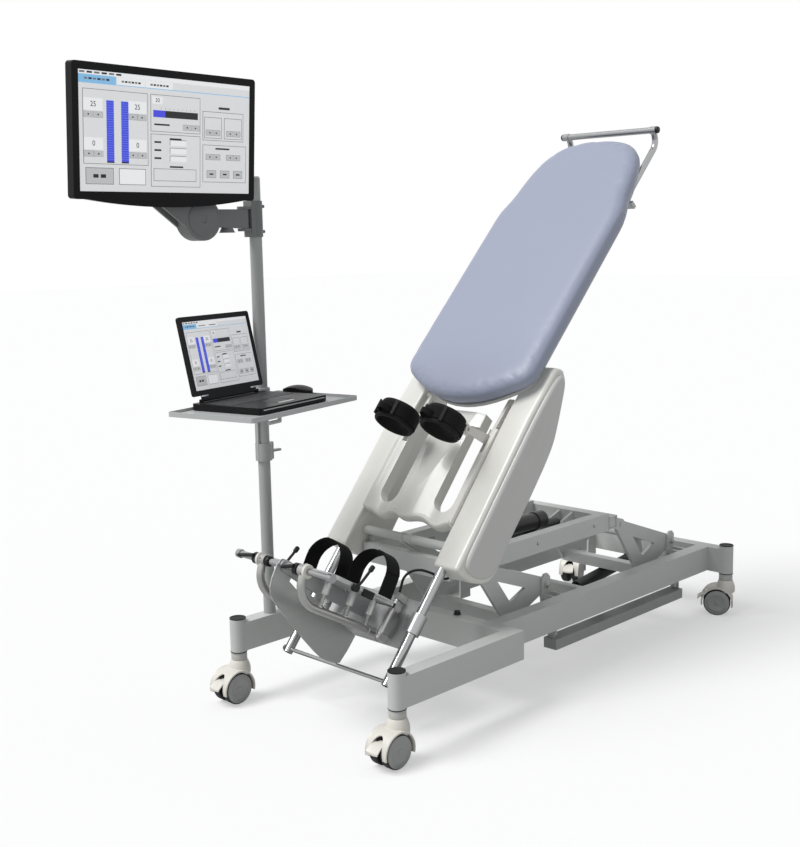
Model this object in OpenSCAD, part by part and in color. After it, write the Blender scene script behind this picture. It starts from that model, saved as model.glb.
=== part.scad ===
/* [Base frame] */
// Distance between the front and the rear caster columns
wheelbase = 1740; // [1600:10:1800]
// Distance of a caster column from the middle plane
column_half = 346; // [330:1:370]
// Radius of a caster column
column_r = 25.5; // [22:0.5:30]
// Height of the lower end of the columns over the floor
column_z = 154; // [150:1:160]
// Height of a caster column
column_h = 106; // [100:1:115]
// Width of the frame beams
beam_w = 50; // [40:1:56]
// Height of the frame beams
beam_h = 90; // [70:1:94]
// Front face of the step cross beam, behind the front columns
cross_x = 465; // [440:5:480]
// Distance of a rear rail's centre line from the middle plane
rail_half = 257; // [250:1:270]
// Width of the tube that carries the height drive
anchor_tube = 30; // [24:1:36]
// Place of that tube behind the front columns
anchor_x = 1150; // [1120:5:1170]
// Height of the height drive's fixed pin
anchor_pin_z = 125; // [118:1:130]
// Thickness of a column cap above its column
cap_h = 3; // [2:0.5:6]
// Radius of the rubber bumper
bumper_r = 12; // [8:1:16]

/* [Casters] */
// Radius of a caster wheel
wheel_r = 49; // [44:1:50]
// Width of one of the two wheels
wheel_w = 28; // [18:1:30]
// Distance of the wheel axle from the column axis
trail = 30; // [24:1:36]
// Thickness of the hood's shell
hood_wall = 5; // [3:0.5:7]
// Gap between wheel and hood
hood_gap = 4; // [3:0.5:6]
// Radius of the caster neck
neck_r = 22.5; // [18:0.5:24]
// Radius of the caster stem
stem_r = 8; // [6:0.5:10]
// Length of the stem in its column
stem_len = 40; // [30:1:60]
// Radius of the wheel axle
axle_r = 5; // [4:0.5:7]

/* [Screen pole] */
// Place of the pole behind the front columns
pole_x = 128; // [110:1:150]
// Radius of the pole
pole_r = 19; // [16:0.5:22]
// Height of the pole's top over the floor
pole_top = 1600; // [1560:5:1650]

/* [Lift] */
// Length of a lift arm between its pivots
arm_len = 353; // [330:1:370]
// Rise of the arms at rest, in degrees
arm_rise = 20.4; // [18:0.1:24]
// Place of the rear base pivots
rear_pivot_x = 1622; // [1600:1:1640]
// Distance between the front and the rear pivots
pivot_span = 754; // [740:1:770]
// Height of the base pivots
base_pivot_z = 275; // [270:1:285]
// Radius of the pivot pins
pin_r = 9; // [7:0.5:11]
// Thickness of a lift arm plate
arm_t = 12; // [8:1:14]
// Radius of the arm plate round a pivot
arm_eye_r = 22; // [18:1:25]
// Side of the arms' cross tubes
arm_tube = 38; // [30:1:42]
// Outer face of the lift frame's rails from the middle plane
frame_half = 186; // [184:0.5:187]
// Width of a lift frame rail
frame_w = 40; // [34:1:42]
// Height of a lift frame rail
frame_h = 60; // [50:1:64]
// Underside of the lift frame over the floor at rest
frame_z = 392; // [388:1:396]
// Front end of the lift frame
frame_x0 = 390; // [385:1:395]
// Rear end of the lift frame's rails
frame_x1 = 1216; // [1200:1:1225]
// Side of the rear square cross tube
rear_tube = 45; // [40:1:48]
// Wall of the square tubes
tube_wall = 4; // [3:0.5:6]
// Length of the torque lever under the rear arms
lift_lever = 100; // [90:1:105]
// Outer radius of the height drive's tube
ram_r = 22; // [20:0.5:26]
// Bore radius of the height drive's tube
ram_bore = 17; // [16.5:0.5:19]
// Radius of the height drive's rod
ram_rod_r = 9; // [7:0.5:10]

/* [Tilt drive] */
// Rest angle of the lying surface, in degrees
tilt_rest = 50; // [45:1:52]
// Place of the tilt pivot behind the front columns
tilt_x = 440; // [436:1:446]
// Height of the tilt pivot over the floor
tilt_z = 463; // [460:1:468]
// Radius of the tilt pin
tilt_pin_r = 12; // [10:0.5:14]
// Length of the tilt lever
tilt_lever = 95; // [85:1:97]
// Outer radius of the tilt drive's tube
screw_r = 23; // [21:0.5:27]
// Bore radius of the tilt drive's tube
screw_bore = 19; // [19:0.5:20]
// Radius of the tilt drive's rod
screw_rod_r = 9.5; // [8:0.5:9.5]
// Radius of the tilt motor
motor_r = 28; // [24:1:32]

/* [Leg section] */
// Gap between the inner faces of the casings, halved
casing_in = 190; // [189:0.5:192]
// Outer face of a casing's box
casing_out = 270; // [262:1:276]
// Outer face of a casing's side panel
panel_out = 298; // [290:1:305]
// Edge radius of the side panels
panel_round = 14; // [8:1:18]
// Distance of the telescopic tubes from the middle plane
leg_tube_half = 215; // [212:1:218]
// Radius of the telescopic tubes
leg_tube_r = 15; // [12:0.5:16]
// Depth of the telescopic tubes under the casing's top
leg_tube_n = 20; // [19:0.5:26]
// Length of the leg cover's slots
slot_len = 305; // [280:5:320]
// Width of the leg cover's slots
slot_w = 78; // [60:1:84]
// Thickness of the moulded leg cover
cover_t = 38; // [30:1:44]

/* [Back section] */
// Length of the cushion
cushion_len = 1150; // [1100:10:1200]
// Half width of the cushion
cushion_half = 268; // [255:1:275]
// Thickness of the cushion
cushion_t = 62; // [50:1:70]
// Thickness of the board under the cushion
board_t = 12; // [9:1:16]
// Angle by which the back lies flatter than the legs, in degrees
back_drop = 4; // [3:0.5:5]
// Radius of the push handle's tube
handle_r = 11; // [9:0.5:13]
// Half length of the push handle
handle_half = 197; // [185:1:210]

/* [Leg drives] */
// Distance of a thigh cuff from the middle plane
cuff_half = 98; // [92:1:104]
// Outer radius of a thigh cuff
cuff_r = 65; // [58:1:68]
// Length of a thigh cuff
cuff_len = 55; // [45:1:65]
// Thickness of a cuff's padding
cuff_wall = 9; // [6:0.5:12]
// Radius of the drive arm's shaft
drive_shaft_r = 12; // [9:0.5:14]
// Width of the drive arm's bar
drive_bar_w = 12; // [8:1:14]

/* [Foot unit] */
// Length of a foot plate
foot_len = 280; // [260:5:300]
// Width of a foot plate
foot_w = 110; // [100:1:120]
// Thickness of a foot plate
foot_t = 12; // [9:0.5:14]
// Distance of a foot plate from the middle plane
foot_half = 102; // [98:1:106]
// Radius of the J-shaped pipes
pipe_r = 12; // [10:0.5:13]
// Distance of the J-shaped pipes from the middle plane
pipe_half = 88; // [84:1:92]
// Radius of the cross shaft
shaft_r = 10; // [8:0.5:12]
// Half length of the cross shaft
shaft_half = 200; // [190:1:215]
// Width of a foot strap
strap_w = 58; // [45:1:62]
// Thickness of a strap
strap_t = 3; // [2:0.5:4]
// Thickness of the guard plate
guard_t = 4; // [3:0.5:6]
// Length of a clamp lever
clamp_len = 62; // [56:1:66]

/* [Screen and shelf] */
// Width of the screen
screen_w = 626; // [600:1:650]
// Height of the screen
screen_h = 346; // [330:1:360]
// Depth of the screen's edge
screen_t = 26; // [22:1:32]
// Width of the bezel
bezel = 20; // [16:1:30]
// Width of the shelf
shelf_w = 505; // [480:5:520]
// Depth of the shelf
shelf_d = 300; // [285:5:310]
// Height of the shelf's top over the floor
shelf_z = 942; // [920:1:960]
// Thickness of the shelf's panel
shelf_t = 6; // [4:0.5:10]
// Height of the shelf's rim
rim_h = 8; // [6:1:16]
// Turn of the shelf on its pole, in degrees
shelf_turn = 13; // [10:1:16]
// Width of the laptop
laptop_w = 316; // [290:1:330]
// Depth of the laptop
laptop_d = 246; // [220:1:250]
// Thickness of the laptop's base
laptop_t = 20; // [16:1:24]
// Thickness of the laptop's lid
lid_t = 9; // [7:0.5:12]
// Lean of the laptop's lid, in degrees
lid_lean = 12.5; // [8:0.5:18]

/* [Fits] */
// Clearance of a running pin in its bore
fit = 0.08; // [0.05:0.01:0.1]
// Gap between pieces that pass each other
gap = 0.5; // [0.4:0.1:0.8]
// Clearance of the pivot that is left open
open_fit = 0.5; // [0.4:0.1:0.8]

/* [Hidden] */
$fn = 48;

// Overrun of every cut
over = 2;
// Smallest step between pieces that touch flat
skin = 0.3;

// Helpers: round bars, plates and boxes in the side view's plane
module bar_y(r, y0, y1) translate([0, y0, 0]) rotate([-90, 0, 0]) cylinder(r=r, h=y1 - y0);
module plate_y(points, y0, y1)
    translate([0, y1, 0]) rotate([90, 0, 0]) linear_extrude(y1 - y0) polygon(points);
module box_at(lo, hi) translate(lo) cube(hi - lo);
module both_sides() {
    children();
    mirror([0, 1, 0]) children();
}
module strut(a, b, r) {
    d = b - a;
    translate(a) rotate([0, acos(d.z / norm(d)), atan2(d.y, d.x)]) cylinder(r=r, h=norm(d));
}
module disc_y(at, r, y0, y1) translate([at.x, 0, at.y]) bar_y(r, y0, y1);
// Flat link between two round eyes, drawn in the side view
module link_y(a, b, ra, rb, y0, y1) {
    d = b - a;
    n = [-d.y, d.x] / norm(d);
    disc_y(a, ra, y0, y1);
    disc_y(b, rb, y0, y1);
    plate_y([a + n * ra / bead, b + n * rb / bead, b - n * rb / bead, a - n * ra / bead], y0, y1);
}
function turn2(p, a) = [p.x * cos(a) - p.y * sin(a), p.x * sin(a) + p.y * cos(a)];
function arc(c, r, a0, a1, n) = [for (i = [0 : n]) c + r * [cos(a0 + (a1 - a0) * i / n),
    sin(a0 + (a1 - a0) * i / n)]];

// Extent of a tilted, turned box with rounded corners along a direction
function slab_reach(e, w, h, t, r, yaw, pitch) =
    let (a = e * [cos(yaw), sin(yaw), 0],
        b = e * [-sin(yaw) * sin(pitch), cos(yaw) * sin(pitch), cos(pitch)],
        c = e * [-sin(yaw) * cos(pitch), cos(yaw) * cos(pitch), -sin(pitch)])
    (w / 2 - r) * abs(a) + (h / 2 - r) * abs(b) + r * norm([a, b]) + t / 2 * abs(c);

// Base heights and places
beam_z = column_z + 4 * skin + (column_h - beam_h) / 4;
beam_top = beam_z + beam_h;
rear_pivot = [rear_pivot_x, base_pivot_z];
front_pivot = [rear_pivot_x - pivot_span, base_pivot_z];
arm_step = arm_len * [-cos(arm_rise), sin(arm_rise)];
rear_top = rear_pivot + arm_step;
front_top = front_pivot + arm_step;
rail_in = rail_half - beam_w / 2;
// Bare shares of the arm plate's low corner, seen from the upper pivot
low_corner_share = [0.422, -0.56];
low_rear = rear_top + arm_len * low_corner_share;
low_front = front_top + arm_len * low_corner_share;
arm_out = frame_half - arm_t - gap;
arm_in = arm_out - arm_t;
lug_t = arm_t;

// Leg frame: its origin lies at the foot end, on the casings' top plane
tilt_s = 455;
tilt_n = -95;
leg_o = [tilt_x, tilt_z] - turn2([tilt_s, tilt_n], tilt_rest);
back_s = 905;
module leg_place() translate([leg_o.x, 0, leg_o.y]) rotate([0, -tilt_rest, 0]) children();
module back_place() leg_place() translate([back_s, 0, 0]) rotate([0, back_drop, 0]) children();

// Screen: centre, turn and lean
screen_at = [-222, 280, 1704];
screen_yaw = 4;
screen_pitch = 4;
screen_round = 10;

// Casters: heading of the pedal side, and extents for the origin
hood_r = wheel_r + hood_gap + hood_wall;
hub_gap = 16;
hood_half = hub_gap / 2 + wheel_w + hood_wall - gap;
headings = [180, 180, 119.4, 200];
function column_at(i) = [i < 2 ? 0 : wheelbase, i % 2 == 0 ? -column_half : column_half];
lip_lean = 35;
lip_at = 0.93;
lip_half = hood_half * 0.8;
lip_reach = hood_r * lip_at + hood_wall * (2 * cos(lip_lean) + sin(lip_lean) / 2);
function caster_reach(e, i) = let (h = [cos(headings[i]), sin(headings[i])], p = [-h.y, h.x])
    e * (column_at(i) + trail * h) + max(hood_half * abs(e * p) + hood_r * abs(e * h),
    lip_half * abs(e * p) + lip_reach * max(0, -(e * h)));
function screen_reach(e) = e * screen_at
    + slab_reach(e, screen_w, screen_h, screen_t, screen_round, screen_yaw, screen_pitch);
x_high = max(wheelbase + column_r, max([for (i = [0 : 3]) caster_reach([1, 0], i)]));
x_low = -screen_reach([-1, 0, 0]);
y_low = -max(column_half + column_r, max([for (i = [0 : 3]) caster_reach([0, -1], i)]));
y_high = max(column_half + column_r, max([for (i = [0 : 3]) caster_reach([0, 1], i)]));
origin = [(x_low + x_high) / 2, (y_low + y_high) / 2];
module place() translate([-origin.x, -origin.y, 0]) children();

// Base
module base_frame() color([0.62, 0.64, 0.63]) place() {
    difference() {
        union() {
            for (x = [0, wheelbase]) both_sides()
                translate([x, column_half, column_z]) cylinder(r=column_r, h=column_h);
            both_sides() box_at([0, column_half - beam_w / 2, beam_z],
                [cross_x + over, column_half + beam_w / 2, beam_top]);
            box_at([cross_x, -column_half - beam_w / 2, beam_z],
                [cross_x + beam_w, column_half + beam_w / 2, beam_top]);
            both_sides() box_at([cross_x + beam_w - over, rail_in, beam_z],
                [wheelbase - beam_w / 2 + over, rail_in + beam_w, beam_top]);
            box_at([wheelbase - beam_w / 2, -column_half, beam_z],
                [wheelbase + beam_w / 2, column_half, beam_top]);
            box_at([anchor_x - anchor_tube / 2, -rail_in - over, beam_z],
                [anchor_x + anchor_tube / 2, rail_in + over, beam_z + anchor_tube]);
            for (x = [bar_x0 + bar_t * 3 + gap, bar_x1 - bar_t * 3 - gap]) translate([x, -rail_half, 0]) {
                box_at([-bar_t, -beam_w / 5, bar_hinge.y - beam_w / 5], [bar_t, beam_w / 5, beam_z + over]);
                translate([x < rear_pivot_x / 1.5 ? -bar_t * 5 : bar_t, 0, bar_hinge.y]) rotate([0, 90, 0])
                    cylinder(r=bar_pin_r, h=bar_t * 4);
            }
            both_sides() difference() {
                link_y([anchor_x, anchor_pin_z], [anchor_x, beam_z + anchor_tube / 2],
                    anchor_tube / 2, anchor_tube / 2, ram_rod_r + gap, ram_rod_r + gap + lug_t);
                disc_y([anchor_x, anchor_pin_z], pin_r, 0, ram_rod_r + lug_t + over);
            }
        }
        for (x = [0, wheelbase]) both_sides() translate([x, column_half, column_z]) {
            translate([0, 0, -over]) cylinder(r=stem_r + fit, h=stem_len + over + gap);
            translate([0, 0, column_h - cap_seat]) cylinder(r=column_r - cap_wall, h=cap_seat + over);
        }
        translate([pole_x, column_half, beam_top - pole_seat])
            cylinder(r=pole_r + skin, h=pole_seat + over);
        translate([bumper_at.x, bumper_at.y, beam_top - bumper_r])
            cylinder(r=bumper_r / 2, h=bumper_r + over);
    }
    disc_y([anchor_x, anchor_pin_z], pin_r, -ram_rod_r - gap - lug_t, ram_rod_r + gap + lug_t);
}
cap_seat = 14;
cap_wall = 3;
pole_seat = 60;
bumper_at = [cross_x + beam_w * 0.7, -column_half * 0.34];

module column_caps() color([0.07, 0.07, 0.07]) place() {
    for (x = [0, wheelbase]) both_sides() translate([x, column_half, column_z + column_h]) {
        difference() {
            union() {
                translate([0, 0, -cap_seat + skin])
                    cylinder(r=column_r - cap_wall - skin, h=cap_seat);
                translate([0, 0, skin]) cylinder(r=column_r, h=cap_h);
            }
            translate([0, 0, cap_h * 0.6]) cylinder(r1=column_r * 0.7, r2=column_r * 0.86, h=cap_h);
        }
    }
    translate([bumper_at.x, bumper_at.y, beam_top]) {
        translate([0, 0, -bumper_r * 0.6]) cylinder(r=bumper_r / 2 - skin, h=bumper_r);
        translate([0, 0, skin]) cylinder(r1=bumper_r, r2=bumper_r * 0.7, h=bumper_r);
    }
}

module pole() color([0.62, 0.64, 0.63]) place() translate([pole_x, column_half, 0]) {
    translate([0, 0, beam_top - pole_seat + skin])
        cylinder(r=pole_r, h=pole_top - beam_top + pole_seat - skin);
    translate([0, 0, pole_top - skin]) cylinder(r1=pole_r, r2=pole_r * 0.8, h=pole_r / 4);
}

bracket_t = 8;
bracket_half = 26;
bracket_top = base_pivot_z + 37;
module lift_bracket(at) both_sides() {
    difference() {
        union() {
            plate_y([at + [-bracket_half, -(at.y - beam_z)], at + [bracket_half, -(at.y - beam_z)],
                at + [bracket_half * 0.8, bracket_top - at.y - bracket_half / 2],
                at + [bracket_half * 0.3, bracket_top - at.y],
                at + [-bracket_half * 0.3, bracket_top - at.y],
                at + [-bracket_half * 0.8, bracket_top - at.y - bracket_half / 2]],
                arm_out + gap, arm_out + gap + bracket_t);
            box_at([at.x - bracket_half, arm_out + gap, beam_z],
                [at.x + bracket_half, rail_in - skin, beam_z + bracket_t]);
            box_at([at.x - bracket_half, arm_out + gap, beam_top - 2 * bracket_t],
                [at.x - bracket_half + bracket_t, rail_in - skin, beam_top - skin]);
            box_at([at.x + bracket_half - bracket_t, arm_out + gap, beam_top - 2 * bracket_t],
                [at.x + bracket_half, rail_in - skin, beam_top - skin]);
        }
    }
    disc_y(at, pin_r, arm_in - 2 * gap, arm_out + gap + bracket_t + pin_r / 2);
    disc_y(at, pin_r * 1.5, arm_out + gap + bracket_t, arm_out + gap + bracket_t + pin_r / 2);
}
module lift_brackets() color([0.55, 0.57, 0.56]) place() {
    lift_bracket(front_pivot);
    lift_bracket(rear_pivot);
}

// Casters
module caster_place(i) place() translate([column_at(i).x, column_at(i).y, 0])
    rotate([0, 0, headings[i]]) children();
hood_skirt = 18;
neck_h = column_z - gap - wheel_r - hood_r * 0.88;
module caster_hood(i) color([0.80, 0.78, 0.73]) caster_place(i) {
    translate([0, 0, column_z - gap - neck_h]) cylinder(r=neck_r, h=neck_h);
    translate([0, 0, column_z - 2 * gap]) cylinder(r=stem_r, h=stem_len);
    difference() {
        translate([trail, 0, wheel_r]) {
            difference() {
                bar_y(hood_r, -hood_half, hood_half);
                translate([0, 0, -hood_r - hood_skirt])
                    cube([4 * hood_r, 4 * hood_r, 2 * hood_r], center=true);
                rotate([0, 55, 0]) translate([hood_r, 0, 0])
                    cube([hood_r * 1.3, 4 * hood_r, hood_r], center=true);
                for (s = [-1, 1]) translate([0, s * (hub_gap / 2 + wheel_w / 2), 0])
                    bar_y(wheel_r + hood_gap, -wheel_w / 2 - gap, wheel_w / 2 + gap + hood_wall);
                for (s = [-1, 1]) translate([0, s * (hub_gap / 2 + wheel_w / 2), 0])
                    bar_y(wheel_r + hood_gap, -wheel_w / 2 - gap - (s < 0 ? hood_wall : 0), 0);
            }
            bar_y(wheel_r * 0.42, -hub_gap / 2 + gap, hub_gap / 2 - gap);
            translate([-hood_r * lip_at, 0, hood_skirt * 1.6]) rotate([0, -lip_lean, 0])
                box_at([-hood_wall * 2, -lip_half, -hood_wall / 2], [hood_wall, lip_half, hood_wall / 2]);
        }
        translate([trail, 0, wheel_r]) bar_y(axle_r + fit, -hood_r, hood_r);
        translate([trail + pedal_pin.x, 0, wheel_r + pedal_pin.y])
            bar_y(pedal_pin_r + fit, -hub_gap / 2 - over, hub_gap / 2 + over);
        translate([trail, 0, wheel_r]) {
            box_at([wheel_r * 0.44, -hub_gap, -wheel_r],
                [2 * hood_r, hub_gap, pedal_pin.y - 2 * pedal_pin_r]);
            box_at([pedal_pin.x - pedal_t * 1.4, -pedal_half - gap, -wheel_r],
                [2 * hood_r, pedal_half + gap, hood_r * 0.7]);
            box_at([hood_r * 0.7, -hood_half * 0.7 - 2 * gap, -hood_r],
                [2 * hood_r, hood_half * 0.7 + 2 * gap, hood_r * 0.6]);
        }
    }
}
pedal_pin = [wheel_r * 0.62, wheel_r * 0.62];
pedal_pin_r = 3;
pedal_t = 6;
pedal_half = hub_gap * 0.22;
module caster_wheels(i) color([0.55, 0.57, 0.57]) caster_place(i) translate([trail, 0, wheel_r]) {
    bar_y(axle_r, -hub_gap / 2 - wheel_w / 2, hub_gap / 2 + wheel_w / 2);
    for (s = [-1, 1]) translate([0, s * (hub_gap + wheel_w) / 2, 0]) rotate([-90, 0, 0])
        rotate_extrude() wheel_profile();
}
tyre_round = 5;
module wheel_profile() {
    h = wheel_w / 2;
    polygon(concat([[0, -h * 0.8], [wheel_r * 0.72, -h * 0.8], [wheel_r * 0.8, -h * 0.95]],
        arc([wheel_r - tyre_round, -h + tyre_round], tyre_round, -90, 0, 4),
        arc([wheel_r - tyre_round, h - tyre_round], tyre_round, 0, 90, 4),
        [[wheel_r * 0.8, h * 0.95], [wheel_r * 0.72, h * 0.8], [0, h * 0.8]]));
}
module caster_pedal(i) color([0.84, 0.82, 0.77]) caster_place(i) translate([trail, 0, wheel_r])
    translate([pedal_pin.x, 0, pedal_pin.y]) {
        bar_y(pedal_pin_r, -hub_gap / 2 + gap, hub_gap / 2 - gap);
        plate_y([[-pedal_t / 2, -pedal_pin_r], [hood_r * 0.3, -pedal_pin_r * 3.5],
            [hood_r * 0.62, -pedal_pin_r * 5], [hood_r * 0.62, -pedal_pin_r * 5 + pedal_t],
            [hood_r * 0.3, pedal_t - pedal_pin_r * 2], [0, pedal_t]],
            -pedal_half, pedal_half);
        box_at([hood_r * 0.36, -hood_half * 0.7, -pedal_pin_r * 5 + gap],
            [hood_r * 0.66, hood_half * 0.7, -pedal_pin_r * 5 + pedal_t]);
    }

// Lift
// Side plate of an arm: a triangle with a triangular window and three eyes
module arm_plate(top, pivot, low, y0, y1) {
    c = (top + pivot + low) / 3;
    window_share = 0.42;
    difference() {
        union() {
            plate_y([top, pivot, low], y0, y1);
            link_y(top, pivot, arm_eye_r * 0.8, arm_eye_r, y0, y1);
            link_y(top, low, arm_eye_r * 0.8, arm_eye_r, y0, y1);
            link_y(low, pivot, arm_eye_r, arm_eye_r, y0, y1);
        }
        plate_y([for (p = [top, pivot, low]) c + (p - c) * window_share], y0 - over, y1 + over);
    }
}
module arm_pair(top, pivot, low) {
    difference() {
        both_sides() arm_plate(top, pivot, low, arm_in, arm_out);
        disc_y(pivot, pin_r + fit, -arm_out - over, arm_out + over);
        disc_y(top, pin_r + fit + (top == rear_top ? open_fit : 0), -arm_out - over, arm_out + over);
    }
    difference() {
        box_at([low.x - arm_tube / 2, -arm_in - over, low.y - arm_tube / 2],
            [low.x + arm_tube / 2, arm_in + over, low.y + arm_tube / 2]);
        box_at([low.x - arm_tube / 2 + tube_wall, -arm_in + over, low.y - arm_tube / 2 + tube_wall],
            [low.x + arm_tube / 2 - tube_wall, arm_in - over, low.y + arm_tube / 2 - tube_wall]);
    }
}
module lift_arm_front() color([0.66, 0.68, 0.66]) place() arm_pair(front_top, front_pivot, low_front);

lift_lever_angle = 287;
height_pin = rear_pivot + lift_lever * [cos(lift_lever_angle), sin(lift_lever_angle)];
torque_r = 18;
ram_lug_t = 10;
ram_lug_in = ram_r + gap;
module lift_arm_rear() color([0.66, 0.68, 0.66]) place() {
    arm_pair(rear_top, rear_pivot, low_rear);
    difference() {
        union() {
            disc_y(rear_pivot, torque_r, -arm_in - over, arm_in + over);
            both_sides() link_y(rear_pivot, height_pin, torque_r * 1.2, pin_r * 1.8,
                ram_lug_in, ram_lug_in + ram_lug_t);
        }
        both_sides() disc_y(rear_pivot, pin_r + fit, arm_in - 4 * gap, arm_out + over);
        both_sides() disc_y(height_pin, pin_r + fit, ram_lug_in - over, ram_lug_in + ram_lug_t + over);
    }
}

rear_tube_x = frame_x1 + rear_tube / 2;
rear_tube_z = frame_z + 3 * tube_wall / 4 + rear_tube / 2;
notch_len = arm_len * 0.42;
tilt_anchor = [1165, 400];
tilt_lug_t = 10;
screw_lug_in = screw_r + gap;
module lift_frame() color([0.66, 0.68, 0.66]) place() difference() {
    union() {
        both_sides() box_at([frame_x0 + over, frame_half - frame_w, frame_z],
            [frame_x1 + over, frame_half, frame_z + frame_h]);
        box_at([frame_x0, -frame_half + over, frame_z],
            [frame_x0 + 30 * tube_wall / 4, frame_half - over, frame_z + frame_h]);
        difference() {
            box_at([rear_tube_x - rear_tube / 2, -frame_half - tube_wall, rear_tube_z - rear_tube / 2],
                [rear_tube_x + rear_tube / 2, frame_half + tube_wall, rear_tube_z + rear_tube / 2]);
            box_at([rear_tube_x - rear_tube / 2 + tube_wall, -frame_half - 2 * tube_wall,
                rear_tube_z - rear_tube / 2 + tube_wall], [rear_tube_x + rear_tube / 2 - tube_wall,
                frame_half + 2 * tube_wall, rear_tube_z + rear_tube / 2 - tube_wall]);
        }
        both_sides() {
            link_y([rear_tube_x, rear_tube_z], rear_top, rear_tube * 0.42, arm_eye_r,
                arm_out + gap, frame_half);
            disc_y(rear_top, pin_r, arm_in - 2 * gap, frame_half + tube_wall);
            disc_y(rear_top, pin_r * 1.4, arm_in - 2 * gap - tube_wall, arm_in - gap);
            disc_y(front_top, pin_r, arm_in - 4 * gap, frame_half - over);
            // Tilt lug with its pin
            link_y([tilt_x, frame_z + frame_h - tilt_lug_r], [tilt_x, tilt_z], tilt_lug_r, tilt_lug_r,
                frame_half - frame_w / 2, frame_half);
            disc_y([tilt_x, tilt_z], tilt_pin_r, frame_half - over, casing_in + frame_w);
            // Lugs of the tilt drive
            link_y(tilt_anchor, [rear_tube_x - rear_tube / 2 + tube_wall, rear_tube_z], pin_r * 1.8,
                rear_tube * 0.4, screw_lug_in, screw_lug_in + tilt_lug_t);
        }
    }
    both_sides() {
        box_at([front_top.x - arm_eye_r - 2 * gap - over, frame_half - frame_w - over, frame_z - over],
            [front_top.x + notch_len, frame_half - lug_t, frame_z + frame_h * 0.5]);
        disc_y(tilt_anchor, pin_r + fit, screw_lug_in - over, screw_lug_in + tilt_lug_t + over);
    }
}
tilt_lug_r = 22;

// Height drive: a rod on the base's pin and a tube on the arms' lever
height_axis = atan2(height_pin.y - anchor_pin_z, height_pin.x - anchor_x) + 0.05;
height_dir = [cos(height_axis), sin(height_axis)];
module along(at, angle) translate([at.x, 0, at.y]) rotate([0, 90 - angle, 0]) children();
height_span = norm(height_pin - [anchor_x, anchor_pin_z]);
module height_rod() color([0.75, 0.77, 0.78]) place() {
    difference() {
        union() {
            disc_y([anchor_x, anchor_pin_z], pin_r * 1.55, -ram_rod_r, ram_rod_r);
            along([anchor_x, anchor_pin_z], height_axis) cylinder(r=ram_rod_r, h=height_span * 0.5);
        }
        disc_y([anchor_x, anchor_pin_z], pin_r + fit, -ram_rod_r - over, ram_rod_r + over);
    }
}
module height_tube() color([0.06, 0.06, 0.06]) place() {
    eye = pin_r * 1.8;
    disc_y(height_pin, pin_r, -ram_lug_in - ram_lug_t, ram_lug_in + ram_lug_t);
    disc_y(height_pin, eye, -ram_r * 0.8, ram_r * 0.8);
    difference() {
        along(height_pin, height_axis + 180) translate([0, 0, eye * 0.6])
            cylinder(r=ram_r, h=height_span * 0.72);
        along(height_pin, height_axis + 180) translate([0, 0, eye * 1.4])
            cylinder(r=ram_bore, h=height_span);
    }
}

// Tilt drive: motor and tube on the lift frame, rod on the bed's lever
tilt_lever_angle = -32;
tilt_pin = [tilt_x, tilt_z] + tilt_lever * [cos(tilt_lever_angle), sin(tilt_lever_angle)];
tilt_axis = atan2(tilt_pin.y - tilt_anchor.y, tilt_pin.x - tilt_anchor.x) - 0.56;
tilt_span = norm(tilt_pin - tilt_anchor);
module tilt_motor() color([0.12, 0.12, 0.13]) place() {
    eye = pin_r * 1.8;
    disc_y(tilt_anchor, pin_r, -screw_lug_in - tilt_lug_t, screw_lug_in + tilt_lug_t);
    disc_y(tilt_anchor, eye, -screw_r * 0.9, screw_r * 0.9);
    difference() {
        along(tilt_anchor, tilt_axis) translate([0, 0, eye * 0.6])
            cylinder(r=screw_r, h=tilt_span * 0.66);
        along(tilt_anchor, tilt_axis) translate([0, 0, eye * 1.4])
            cylinder(r=screw_bore, h=tilt_span);
    }
    // Motor and gear housing beside the tube
    along(tilt_anchor, tilt_axis) translate([motor_r * 1.6, -motor_r * 1.8, tilt_span * 0.3]) {
        cylinder(r=motor_r, h=tilt_span * 0.26);
        translate([0, 0, tilt_span * 0.26 - over]) cylinder(r1=motor_r, r2=motor_r * 0.7, h=motor_r / 3);
    }
    along(tilt_anchor, tilt_axis) hull() {
        translate([0, 0, tilt_span * 0.24]) cylinder(r=screw_r * 1.25, h=tilt_span * 0.07);
        translate([motor_r * 1.6, -motor_r * 1.8, tilt_span * 0.24])
            cylinder(r=motor_r * 1.1, h=tilt_span * 0.07);
    }
}
module tilt_rod() color([0.78, 0.80, 0.81]) place() {
    difference() {
        union() {
            disc_y(tilt_pin, pin_r * 1.7, -screw_rod_r, screw_rod_r);
            along(tilt_pin, tilt_axis + 180) cylinder(r=screw_rod_r, h=tilt_span * 0.56);
        }
        disc_y(tilt_pin, pin_r + fit, -screw_rod_r - over, screw_rod_r + over);
    }
}

// Foot-control bar under the near rail
bar_h = 34;
bar_x0 = 798;
bar_x1 = 1536;
bar_top = beam_z - 32;
bar_t = 4;
bar_hinge = [0, beam_z - 14];
bar_pin_r = 5;
module foot_bar() color([0.20, 0.21, 0.22]) place() translate([0, -rail_half, 0]) {
    for (x = [bar_x0, bar_x1]) difference() {
        union() {
            box_at([x - bar_t * 2, -beam_w / 2, bar_top - bar_h], [x + bar_t * 2, beam_w / 2, bar_top]);
            translate([x, 0, 0]) link_x(bar_hinge.y, bar_top - bar_h / 2);
        }
        bar_bore(x);
    }
    difference() {
        box_at([bar_x0, -beam_w / 2, bar_top - bar_h], [bar_x1, beam_w / 2, bar_top]);
        box_at([bar_x0 + bar_t, -beam_w / 2 + bar_t, bar_top - bar_h - over],
            [bar_x1 - bar_t, beam_w / 2 - bar_t, bar_top - bar_t]);
    }
}
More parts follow.
